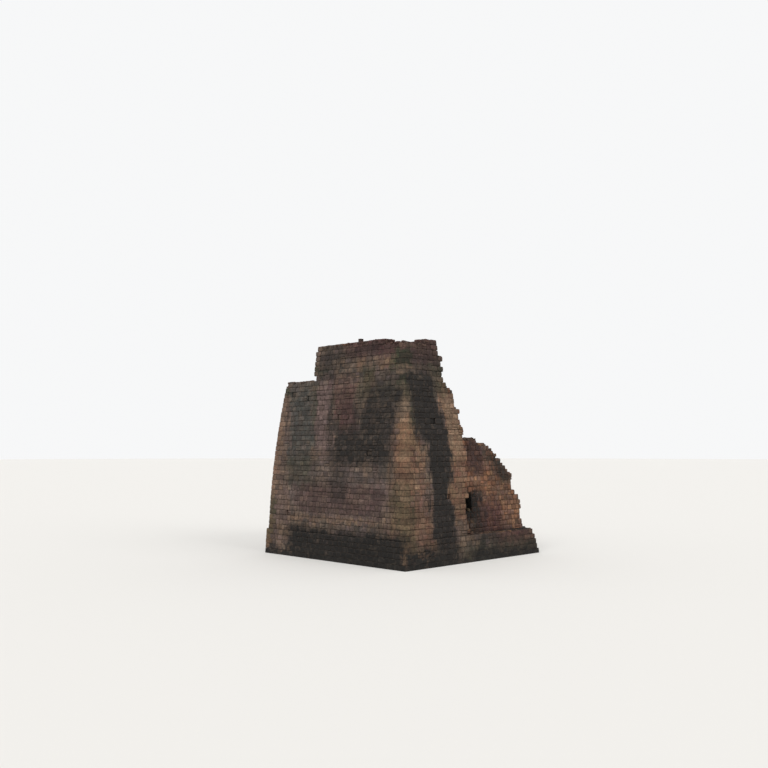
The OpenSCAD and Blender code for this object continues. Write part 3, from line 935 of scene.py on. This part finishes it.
def make_patch_group():
    """A stain with soft ends: between two heights, and to both sides of its middle."""
    names = ("Along", "Height", "Middle", "Half Width", "Low", "High", "Side Feather", "End Feather",
             "Strength", "Slant", "Taper")
    tree, taken, given = new_group("stain_patch", dict.fromkeys(names, "Float"), {"Mask": "Float"})
    along, height, middle, half, low, high, side, end, strength, slant, taper = taken.values()
    lean = (height - (low + high) * 0.5) * slant
    away = (along - middle - lean).size()
    rise = wire(tree, "ShaderNodeMapRange", {"Value": height, "From Min": low, "From Max": high})
    half = half * (1.0 - rise * taper)
    across = 1.0 - away.ramp(half - side, half + side)
    begun = height.ramp(low - end, low + end)
    ended = height.ramp(high - end, high + end)
    feed(given["Mask"], across * (begun * (1.0 - ended)) * strength)


def make_ragged_group():
    """Shifts a place on a wall by slow noise, so that stains get streaked, ragged edges."""
    tree, taken, given = new_group(
        "ragged_place", {"Vector": "Vector", "Along": "Float", "Height": "Float", "Wander": "Float"},
        {"Along": "Float", "Height": "Float"})
    place = taken["Vector"]
    wide = place.stretched((1.0, 1.0, 0.35)).noise(1.5, 5.0, 0.72)
    fine = place.noise(2.6, 3.0, 0.6)
    for name, stray, reach in (("Along", wide, 2.4), ("Height", fine, 1.2)):
        feed(given[name], taken[name] + (stray - 0.5) * taken["Wander"] * reach)


def make_grain_group():
    """Fine grain, worn hollows and pits of soft limestone, as a height and a shade."""
    tree, taken, given = new_group(
        "limestone_grain", {"Vector": "Vector", "Pitting": "Float"}, {"Height": "Float", "Shade": "Float"})
    place = taken["Vector"]
    fine = place.noise(70.0, 3.0, 0.7)
    middle = place.noise(16.0, 4.0, 0.6)
    pits = wire(tree, "ShaderNodeTexVoronoi", {"Vector": place, "Scale": 24.0}, feature="SMOOTH_F1")
    holes = pits.ramp(0.0, 0.45) * taken["Pitting"]
    feed(given["Height"], fine * 0.25 + middle * 0.8 + holes)
    feed(given["Shade"], fine * 0.35 + middle * 0.65)


def make_tone_group():
    """Each stone's own colour: two shades by its tone, paler ones now and then. Its light differs
    from stone to stone, in blotches, course by course and with the grain."""
    tree, taken, given = new_group(
        "stone_tone",
        {"Tone": "Float", "Shade": "Float", "Vector": "Vector", "First": "Color", "Second": "Color",
         "Pale": "Color", "Pale Share": "Float"},
        {"Color": "Color", "Light": "Float"})
    tone, shade_of, place, first, second, pale, pale_share = taken.values()
    drift = place.noise(0.8, 2.0).ramp(0.32, 0.68)
    share = (tone * 0.55 + drift * 0.45).ramp(0.15, 0.85)
    mixed = blend_colour(tree, share, first, second)
    feed(given["Color"], blend_colour(tree, tone.ramp(1.0 - pale_share, 1.0) * 0.75, mixed, pale))
    by_stone = (tone * 7.31).fraction() * 0.5 + 0.74
    by_blotch = place.noise(8.0, 3.0, 0.65) * 1.5 + 0.25
    by_course = place.stretched((0.35, 0.35, 3.4)).noise(1.0, 2.0) * 1.3 + 0.34
    by_grain = shade_of * 1.5 + 0.25
    feed(given["Light"], by_stone * by_blotch * by_course * by_grain)


def make_joint_dirt_and_shade_group():
    """Dirt and shadow gathered in the joints round a stone."""
    tree, taken, given = new_group(
        "joint_dirt_and_shade",
        {"Color": "Color", "Dirt And Shade": "Color", "Rim": "Float", "Shade": "Float", "Amount": "Float"},
        {"Color": "Color"})
    edge = taken["Rim"] + (taken["Shade"] - 0.5) * 0.5
    share = edge.ramp(0.1, 0.9) * taken["Amount"]
    feed(given["Color"], blend_colour(tree, share, taken["Color"], taken["Dirt And Shade"]))


def stain(kind, middle, half_width, low, high, strength, side_feather=0.3, end_feather=0.4,
          slant=0.0, taper=0.0):
    """One stain of a wall, in metres along it and up it. It leans by its slant for each metre
    of height, and its taper is the share of its width lost from its foot to its top."""
    return kind, {
        "Middle": middle, "Half Width": half_width, "Low": low, "High": high, "Strength": strength,
        "Side Feather": side_feather, "End Feather": end_feather, "Slant": slant, "Taper": taper,
    }


FRONT_STAINS = (
    stain("Dark", 1.65, 2.0, 4.4, 6.1, 0.95, 0.45),
    stain("Dark", 2.75, 1.15, 5.2, 8.0, 0.85, 0.35, 0.5, slant=0.05),
    stain("Dark", 0.4, 0.45, 2.7, 4.4, 0.6),
    stain("Dark", -3.95, 0.16, 6.0, 8.1, 0.5, 0.12, 0.5, slant=-0.03),
    stain("Dark", -0.35, 0.16, 5.6, 8.1, 0.55, 0.12, 0.5, slant=-0.08),
    stain("Dark", 1.35, 0.2, 5.9, 7.4, 0.5, 0.15),
    stain("Dark", -0.75, 0.95, 8.5, 10.0, 0.6, 0.35, 0.25),
    stain("Dark", 3.1, 1.0, 7.6, 8.6, 0.5, 0.4, 0.3),
    stain("Grey", -2.65, 0.95, 4.3, 8.5, 0.9, 0.22, 0.6, slant=-0.09),
    stain("Grey", 3.25, 0.4, 3.5, 5.2, 0.5, 0.25),
    stain("Green", -2.5, 1.1, 3.4, 4.6, 0.45, 0.5, 0.3),
    stain("Red", 0.55, 0.72, 5.7, 8.3, 0.85, 0.2, 0.5, slant=-0.1),
    stain("Red", 0.4, 2.9, 2.1, 3.5, 0.6, 0.5, 0.3),
    stain("Green", 4.3, 0.5, 1.7, 3.6, 0.6),
    stain("Red", 4.4, 0.5, 3.4, 4.4, 0.35, 0.3, 0.3),
    stain("Dark", 4.2, 0.4, 0.6, 1.7, 0.45, 0.3, 0.3),
    stain("Red", 2.2, 2.1, 9.3, 10.3, 0.95, 0.4, 0.2),
    stain("Dark", 0.9, 1.5, 9.0, 9.9, 0.4, 0.5, 0.3),
    stain("Red", -0.2, 0.8, 8.0, 8.6, 0.5, 0.3, 0.2),
    stain("Green", -1.5, 0.8, 8.7, 8.95, 0.8, 0.25, 0.1),
    stain("Green", -1.75, 0.14, 6.2, 8.3, 0.5, 0.1, slant=-0.04),
    stain("Green", 1.8, 0.35, 7.4, 9.0, 0.6, 0.2, 0.3),
    stain("Green", 3.9, 0.5, 8.75, 9.6, 0.9, 0.2, 0.2),
    stain("Green", 3.1, 1.6, 7.2, 8.1, 0.45, 0.4, 0.3),
    stain("Rose", -1.0, 0.55, 4.9, 8.4, 0.9, 0.22, 0.5, slant=-0.1),
    stain("Rose", 0.2, 3.4, 2.0, 4.2, 0.4, 0.5, 0.5),
    stain("Grey", 0.2, 3.4, 1.6, 4.2, 0.28, 0.5),
    stain("Grey", -4.1, 0.7, 0.4, 7.5, 0.15, 0.3, 0.5, slant=-0.09),
    stain("Worn", -2.0, 0.1, 6.0, 8.2, 0.7, 0.1, slant=-0.04),
    stain("Worn", -4.1, 0.75, 0.4, 8.6, 0.3, 0.25, slant=-0.09, taper=0.3),
    stain("Rose", -4.1, 0.75, 1.6, 8.6, 0.4, slant=-0.09, taper=0.3),
    stain("Worn", 4.75, 1.2, 1.0, 6.5, 0.7, 0.5, taper=0.3),
    stain("Worn", 1.95, 0.3, 7.0, 8.5, 0.5, 0.2, 0.3),
    stain("Pale", 3.75, 0.3, 6.4, 7.3, 0.5, 0.2, 0.3),
    stain("Worn", 1.3, 0.35, 8.9, 9.6, 0.6, 0.2, 0.2),
    stain("Worn", 3.15, 0.55, 8.85, 9.3, 0.5, 0.25, 0.12),
    stain("Worn", 0.0, 3.2, 1.76, 1.98, 0.55, 0.3, 0.08),
    stain("Damp And Shade", 0.8, 3.9, -1.0, 1.4, 0.95, 0.45, 0.42),
    stain("Green", 2.6, 2.0, -0.5, 1.0, 0.5, 0.6),
    stain("Damp And Shade", 0.0, 6.0, -1.0, 0.3, 0.95, 0.3, 0.35),
)
RIGHT_STAINS = (
    stain("Dark", -2.9, 0.85, 5.4, 8.5, 1.15, 0.28, slant=-0.08),
    stain("Dark", -2.3, 0.75, 0.9, 6.0, 1.2, 0.2),
    stain("Dark", -2.3, 0.8, -0.5, 1.3, 0.75),
    stain("Dark", -2.9, 2.0, 8.2, 9.6, 0.4, 0.5, 0.5),
    stain("Green", -4.3, 0.7, 8.85, 9.4, 0.8, 0.3, 0.15),
    stain("Green", -3.9, 0.8, 7.9, 8.4, 0.8, 0.3, 0.15),
    stain("Green", -3.4, 0.6, 6.0, 7.6, 0.7, 0.25),
    stain("Green", -1.9, 0.5, 7.6, 9.0, 0.6, 0.2, 0.3),
    stain("Red", -3.2, 1.6, 8.9, 10.2, 0.8, 0.4, 0.2),
    stain("Red", -1.6, 0.5, 7.2, 8.0, 0.3, 0.3, 0.3),
    stain("Worn", -0.95, 0.65, 2.0, 8.3, 1.1, 0.12, 0.3, slant=-0.06),
    stain("Worn", -1.35, 0.4, 5.2, 8.0, 1.4, 0.12, 0.3, slant=-0.08),
    stain("Pale", -1.15, 0.55, 5.0, 8.1, 0.75, 0.15, 0.5, slant=-0.07),
    stain("Red", -0.8, 0.55, 1.6, 4.6, 0.22, 0.2, 0.5),
    stain("Worn", -4.55, 1.65, 0.3, 6.5, 0.75, 0.32, taper=0.5),
    stain("Green", 2.2, 3.2, -1.0, 0.8, 0.6, 0.5, 0.35),
    stain("Damp And Shade", 2.4, 3.0, -1.0, 0.45, 0.9, 0.5),
    stain("Damp And Shade", -3.0, 1.9, -1.0, 0.85, 0.9, 0.5),
    stain("Dark", 0.9, 1.2, -0.5, 1.4, 0.45, 0.5),
    stain("Worn", 3.4, 1.6, 0.7, 1.6, 0.7, 0.5, 0.3),
    stain("Red", 3.0, 1.9, 0.2, 1.6, 0.9, 0.5, 0.3),
    stain("Green", -4.6, 0.5, 0.8, 2.8, 0.6),
    stain("Red", -3.7, 0.5, 0.8, 3.2, 0.4),
    stain("Damp And Shade", 0.0, 6.0, -1.0, 0.15, 0.9, 0.3, 0.3),
)
BACK_STAINS = (
    stain("Dark", 2.2, 1.3, 3.4, 8.0, 0.9, 0.4, 0.5, slant=0.08),
    stain("Dark", -1.0, 0.8, 2.4, 4.6, 0.65, 0.3, 0.5),
    stain("Grey", 3.6, 0.6, 4.6, 8.4, 0.8, 0.25, 0.5),
    stain("Red", 0.4, 0.9, 3.4, 6.4, 0.7, 0.3, 0.6, slant=-0.08),
    stain("Green", 2.9, 0.7, 7.0, 8.4, 0.6),
    stain("Worn", 4.5, 0.9, 1.0, 8.4, 0.7, taper=0.3),
    stain("Worn", 1.0, 0.5, 1.6, 5.4, 0.7, 0.2),
    stain("Rose", -2.6, 1.2, 2.0, 5.0, 0.6, 0.5, 0.5),
    stain("Green", -1.0, 3.0, -0.5, 1.2, 0.6, 0.6),
    stain("Damp And Shade", 1.6, 2.4, -1.0, 1.3, 0.9, 0.6, 0.3),
    stain("Damp And Shade", -2.6, 1.6, -1.0, 0.7, 0.85, 0.6, 0.35),
    stain("Damp And Shade", 0.0, 6.0, -1.0, 0.2, 0.9, 0.3, 0.3),
)
LEFT_STAINS = (
    stain("Dark", -1.5, 1.5, 3.9, 8.0, 0.9, 0.4, 0.5, slant=0.06),
    stain("Dark", 2.1, 0.7, 1.6, 6.2, 0.8, 0.25, 0.5),
    stain("Grey", 0.6, 0.7, 4.0, 8.4, 0.8, 0.3, 0.5, slant=-0.06),
    stain("Red", 3.1, 0.7, 4.6, 7.8, 0.7, 0.3, 0.5),
    stain("Green", -2.2, 0.9, 7.2, 8.5, 0.55),
    stain("Worn", 4.4, 1.0, 1.0, 8.4, 0.7, taper=0.3),
    stain("Worn", -4.4, 1.1, 1.2, 6.8, 0.9, taper=0.4),
    stain("Worn", -0.2, 3.2, 1.6, 2.3, 0.5, 0.4, 0.2),
    stain("Rose", 1.4, 1.4, 2.2, 4.4, 0.6, 0.5, 0.5),
    stain("Green", 2.0, 2.4, -0.5, 1.1, 0.6, 0.6),
    stain("Damp And Shade", -0.8, 2.8, -1.0, 1.4, 0.9, 0.6, 0.3),
    stain("Damp And Shade", 0.0, 6.0, -1.0, 0.3, 0.9, 0.3, 0.35),
)
CORE_STAINS = (
    stain("Red", 0.85, 0.75, 4.1, 5.6, 0.8, 0.3, 0.35),
    stain("Dark", 0.8, 0.6, 4.2, 5.4, 0.4, 0.3, 0.3),
    stain("Dark", 2.75, 0.7, 3.6, 5.3, 0.7, slant=-0.3),
    stain("Green", 3.0, 0.7, 3.5, 5.2, 0.6, slant=-0.4),
    stain("Red", 1.7, 0.9, 0.8, 2.6, 1.0, 0.35),
    # Painted shade in and round the hollow of the bare core, laid with the dark and damp films
    stain("Dark", 0.4, 0.65, 1.7, 3.1, 1.3),
    stain("Damp And Shade", 0.2, 0.45, 1.9, 2.9, 0.9, 0.25, 0.3),
    stain("Dark", 0.8, 0.6, 0.5, 2.4, 0.75),
    stain("Green", 0.5, 0.4, 0.6, 2.0, 0.5, 0.25),
    stain("Worn", 1.7, 0.6, 3.0, 4.6, 0.6),
    stain("Worn", 3.1, 0.9, 1.4, 3.9, 0.5, 0.35, 0.5),
    stain("Worn", 1.4, 0.9, 2.7, 4.1, 0.4, 0.35),
    stain("Green", 2.0, 3.2, -1.0, 0.8, 0.9, 0.4, 0.2),
)
# The film of each kind of stain, as its colour and strength, in the order in which they lie
FILMS = {"Pale": ("pale", 0.75), "Rose": ("rose", 0.85), "Grey": ("grey_film", 0.8),
         "Red": ("red_film", 0.85), "Green": ("green_film", 1.0), "Dark": ("crust_and_shade", 1.05),
         "Damp And Shade": ("damp_and_shade", 1.3)}
STAIN_KINDS = ("Worn", *FILMS)
WALL_STAINS = {"front": FRONT_STAINS, "right": RIGHT_STAINS, "back": BACK_STAINS, "left": LEFT_STAINS,
               "core": CORE_STAINS}


def make_stain_group(wall, stains):
    """All the stains of one wall, as one mask for each kind."""
    tree, taken, given = new_group(f"{wall}_stains", {"Along": "Float", "Height": "Float"},
                                   dict.fromkeys(STAIN_KINDS, "Float"))
    totals = {}
    for kind, shape in stains:
        mask = use_group(tree, "stain_patch", {**taken, **shape})["Mask"]
        totals[kind] = totals[kind].most(mask) if kind in totals else mask
    for kind, mask in totals.items():
        feed(given[kind], mask)


def make_weathering_group():
    """Lays the films, the crust and the damp over a stone's own colour; round the hollow of the bare core,
    the crust and the damp are painted shade.
    """
    paint = bpy.context.scene.tower_colours
    own = ("Shade", "Film", "Streaks", "Tone", "Light")
    tree, taken, given = new_group(
        "weathering", {"Color": "Color", "Vector": "Vector", **dict.fromkeys((*own, *STAIN_KINDS), "Float")},
        {"Color": "Color"})
    place = taken["Vector"]
    cloudy = place.noise(5.5, 4.0, 0.7).ramp(0.3, 0.7)
    mottled = cloudy * 0.5 + ((taken["Tone"] * 5.17).fraction() * 0.4 + 0.5)
    bare = (taken["Worn"] * mottled).clipped()
    rusty = place.noise(3.2, 3.0, 0.6).ramp(0.4, 0.66)
    golden = blend_colour(tree, rusty, paint.golden, paint.core_stone)
    result = blend_colour(tree, bare * 0.62, taken["Color"], golden)
    film = (taken["Film"] - bare * 0.9).clipped() * place.noise(2.2, 4.0, 0.65).ramp(0.25, 0.7)
    result = blend_colour(tree, film, result, paint.grey_film)
    runs = place.stretched((2.6, 2.6, 0.24)).noise(1.0, 4.0, 0.62).ramp(0.47, 0.72)
    streak = (runs * taken["Streaks"] - taken["Worn"] * 0.35).clipped()
    result = blend_colour(tree, streak, result, paint.crust_and_shade)
    for kind, (film_name, strength) in FILMS.items():
        share = (taken[kind] * mottled * strength).clipped()
        result = blend_colour(tree, share, result, getattr(paint, film_name))
    grey = wire(tree, "ShaderNodeCombineColor", dict.fromkeys(range(3), taken["Light"]))
    feed(given["Color"], blend_colour(tree, 1.0, result, grey, "MULTIPLY"))


def stained_material(name, walls, look_of):
    """A stone or mortar finish with the stains of the given walls.
    look_of gives the colours, the share of film, the joint dirt and painted shade, the pitting and the bump."""
    material = bpy.data.materials.new(name)
    material.use_nodes = True
    tree = material.node_tree
    shader = tree.nodes["Principled BSDF"].inputs
    place = wire(tree, "ShaderNodeTexCoord", output="Object")
    x, y, z = (Wire(tree, socket) for socket in node(tree, "ShaderNodeSeparateXYZ", {0: place}).outputs)
    grain = use_group(tree, "limestone_grain", {"Vector": place, "Pitting": look_of["pitting"]})
    if look_of["stones"]:
        tone = wire(tree, "ShaderNodeAttribute", output="Fac", attribute_name="tone")
    else:
        tone = place.noise(3.0, 2.0)
    own = use_group(tree, "stone_tone", {
        "Tone": tone, "Shade": grain["Shade"], "Vector": place, "First": look_of["first"],
        "Second": look_of["second"], "Pale": look_of["pale"], "Pale Share": look_of["pale_share"]})
    ways = {"front": x, "right": y, "core": y, "back": x * -1.0, "left": y * -1.0}
    masks = {}
    for wall in walls:
        ragged = use_group(tree, "ragged_place", {
            "Vector": place, "Along": ways[wall], "Height": z, "Wander": look_of["wander"]})
        for kind, mask in use_group(tree, f"{wall}_stains", ragged).items():
            masks[kind] = masks[kind].most(mask) if kind in masks else mask
    worn = use_group(tree, "weathering", {
        **masks, **own, "Shade": grain["Shade"], "Vector": place, "Film": look_of["film"],
        "Streaks": look_of["streaks"], "Tone": tone})["Color"]
    # Darker towards the joints by the rim: joint dirt and painted shade
    if look_of["stones"]:
        rim = wire(tree, "ShaderNodeAttribute", output="Fac", attribute_name="rim")
        worn = use_group(tree, "joint_dirt_and_shade", {
            "Color": worn, "Dirt And Shade": look_of["dirt_and_shade"], "Rim": rim, "Shade": grain["Shade"],
            "Amount": look_of["dirt_and_shade_amount"]})["Color"]
    feed(shader["Base Color"], worn)
    feed(shader["Roughness"], (grain["Shade"] * 0.2 + 0.78).clipped())
    feed(shader["Specular IOR Level"], 0.25)
    feed(shader["Normal"], wire(tree, "ShaderNodeBump", {
        "Height": grain["Height"], "Strength": 0.8, "Distance": look_of["bump"]}))
    return material


class TOWER_OT_materials(bpy.types.Operator):
    """Build the weathered stone and mortar, and give every solid its own"""
    bl_idname = "tower.make_materials"
    bl_label = "Stone and mortar"

    def execute(self, context):
        make_patch_group()
        make_ragged_group()
        make_grain_group()
        make_tone_group()
        make_joint_dirt_and_shade_group()
        for wall, stains in WALL_STAINS.items():
            make_stain_group(wall, stains)
        make_weathering_group()
        paint = context.scene.tower_colours
        blocks = {"first": paint.warm, "second": paint.pink, "pale": paint.pale, "pale_share": 0.2,
                  "film": 0.55, "streaks": 0.6, "dirt_and_shade": paint.mortar, "dirt_and_shade_amount": 0.35, "pitting": 0.35,
                  "bump": 0.018, "wander": 0.9, "stones": True}
        mortar = {**blocks, "first": paint.mortar, "second": paint.mortar, "pale": paint.earth,
                  "stones": False, "film": 0.3, "bump": 0.012}
        for wall in SIDES:
            stained_material(f"{wall}_blocks", [wall], blocks)
            stained_material(f"{wall}_mortar", [wall], mortar)
        quoins = {**blocks, "first": paint.warm, "second": paint.warm, "pale_share": 0.3, "film": 0.4}
        stained_material("quoin_blocks", ["front", "right"], quoins)
        core = {**blocks, "first": paint.core_stone, "second": paint.pink, "pale": paint.core_pale,
                "pale_share": 0.35, "film": 0.15, "streaks": 0.4, "dirt_and_shade": paint.earth, "pitting": 0.5,
                "bump": 0.024}
        stained_material("broken_stones", ["core"], core)
        stained_material("core_mortar", ["core"], {**core, "first": paint.earth, "second": paint.mortar,
                                                   "stones": False, "bump": 0.02})
        inner = {**blocks, "first": paint.inner, "second": paint.grey, "film": 0.2, "dirt_and_shade": paint.mortar}
        stained_material("inner_blocks", ["core"], inner)
        stained_material("inner_mortar", ["core"], {**inner, "first": paint.mortar, "second": paint.earth,
                                                    "stones": False, "bump": 0.015})
        stained_material("top_stones", ["front"], {**core, "film": 0.8, "dirt_and_shade": paint.mortar})
        stained_material("slabs", ["front"], {**inner, "film": 0.7})
        self.dress_solids()
        return {"FINISHED"}

    def dress_solids(self):
        """The solids show as the bedding between their stones."""
        for name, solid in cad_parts.items():
            wall = name.split("_")[0]
            finish = f"{wall}_mortar" if wall in SIDES else "inner_mortar"
            if name.endswith("core") or "bench" in name or name.endswith("fill"):
                finish = "core_mortar"
            elif name.endswith("lining") or name.startswith("vault"):
                finish = "inner_mortar"
            elif name.endswith("paving") or name == "cap_stone":
                finish = "slabs"
            solid.data.materials.clear()
            solid.data.materials.append(bpy.data.materials[finish])


class TOWER_OT_stage(bpy.types.Operator):
    """Set the camera, the soft lamps and the pale floor"""
    bl_idname = "tower.make_stage"
    bl_label = "Stage"

    def execute(self, context):
        settings = context.scene.tower_stage
        scene = context.scene
        camera = bpy.data.objects.new("camera", bpy.data.cameras.new("camera"))
        camera.data.lens = settings.lens
        camera.location = settings.eye
        camera.rotation_euler = (math.pi / 2 + settings.pitch, 0, settings.heading)
        camera.data.clip_end = 1000
        scene.collection.objects.link(camera)
        scene.camera = camera
        self.hang_lamp("key", (0.30, -0.80, 0.85), settings.key)
        self.hang_lamp("fill", (0.95, 0.10, 0.55), settings.key * 0.35)
        self.lay_floor(settings)
        self.light_sky(settings)
        scene.view_settings.view_transform = "Standard"
        return {"FINISHED"}

    def hang_lamp(self, name, direction, strength):
        """A broad, soft lamp far away, shining from the given direction."""
        lamp = bpy.data.lights.new(name, "SUN")
        lamp.energy = strength
        lamp.angle = math.radians(35)
        holder = bpy.data.objects.new(name, lamp)
        holder.rotation_euler = Vector(direction).to_track_quat("Z", "Y").to_euler()
        bpy.context.scene.collection.objects.link(holder)

    def lay_floor(self, settings):
        floor = bmesh.new()
        bmesh.ops.create_circle(floor, cap_ends=True, segments=96, radius=400)
        mesh = bpy.data.meshes.new("floor")
        floor.to_mesh(mesh)
        floor.free()
        ground = bpy.data.objects.new("floor", mesh)
        bpy.context.scene.collection.objects.link(ground)
        material = bpy.data.materials.new("pale_floor")
        material.use_nodes = True
        shader = material.node_tree.nodes["Principled BSDF"]
        shader.inputs["Base Color"].default_value = (*settings.floor, 1)
        shader.inputs["Roughness"].default_value = 0.9
        mesh.materials.append(material)

    def light_sky(self, settings):
        world = bpy.data.worlds.new("sky")
        world.use_nodes = True
        tree = world.node_tree
        tree.nodes.clear()
        camera, glossy, through = (Wire(tree, node(tree, "ShaderNodeLightPath").outputs[f"Is {ray} Ray"])
                                   for ray in ("Camera", "Glossy", "Transmission"))
        light = wire(tree, "ShaderNodeBackground", {"Color": (1, 1, 1), "Strength": settings.fill})
        shown = wire(tree, "ShaderNodeBackground", {"Color": (0.93, 0.935, 0.94), "Strength": 1.0})
        seen = camera.most(glossy.most(through))
        mixed = wire(tree, "ShaderNodeMixShader", {0: seen, 1: light, 2: shown})
        node(tree, "ShaderNodeOutputWorld", {0: mixed})
        bpy.context.scene.world = world


class TOWER_PT_panel(bpy.types.Panel):
    """Sizes, colours and steps of the watchtower"""
    bl_label = "Ruined watchtower"
    bl_idname = "TOWER_PT_panel"
    bl_space_type = "VIEW_3D"
    bl_region_type = "UI"
    bl_category = "Watchtower"

    def draw(self, context):
        layout = self.layout
        for group in (context.scene.tower_masonry, context.scene.tower_colours, context.scene.tower_stage):
            box = layout.box()
            for name in group.__annotations__:
                box.prop(group, name)
        for step in STEPS:
            layout.operator(step.bl_idname)


STEPS = (TOWER_OT_stage, TOWER_OT_materials, TOWER_OT_walls, TOWER_OT_quoins, TOWER_OT_lining,
         TOWER_OT_vault, TOWER_OT_tops)
GROUPS = {"tower_masonry": TOWER_PG_masonry, "tower_colours": TOWER_PG_colours,
          "tower_stage": TOWER_PG_stage}


def register():
    for name, group in GROUPS.items():
        bpy.utils.register_class(group)
        setattr(bpy.types.Scene, name, PointerProperty(type=group))
    for item in (*STEPS, TOWER_PT_panel):
        bpy.utils.register_class(item)


def unregister():
    for item in (TOWER_PT_panel, *reversed(STEPS)):
        bpy.utils.unregister_class(item)
    for name, group in GROUPS.items():
        delattr(bpy.types.Scene, name)
        bpy.utils.unregister_class(group)


def main():
    register()
    bpy.ops.tower.make_stage()
    bpy.ops.tower.make_materials()
    bpy.ops.tower.lay_walls()
    bpy.ops.tower.lay_quoins()
    bpy.ops.tower.lay_lining()
    bpy.ops.tower.lay_vault()
    bpy.ops.tower.lay_tops()


if __name__ == "__main__":
    main()
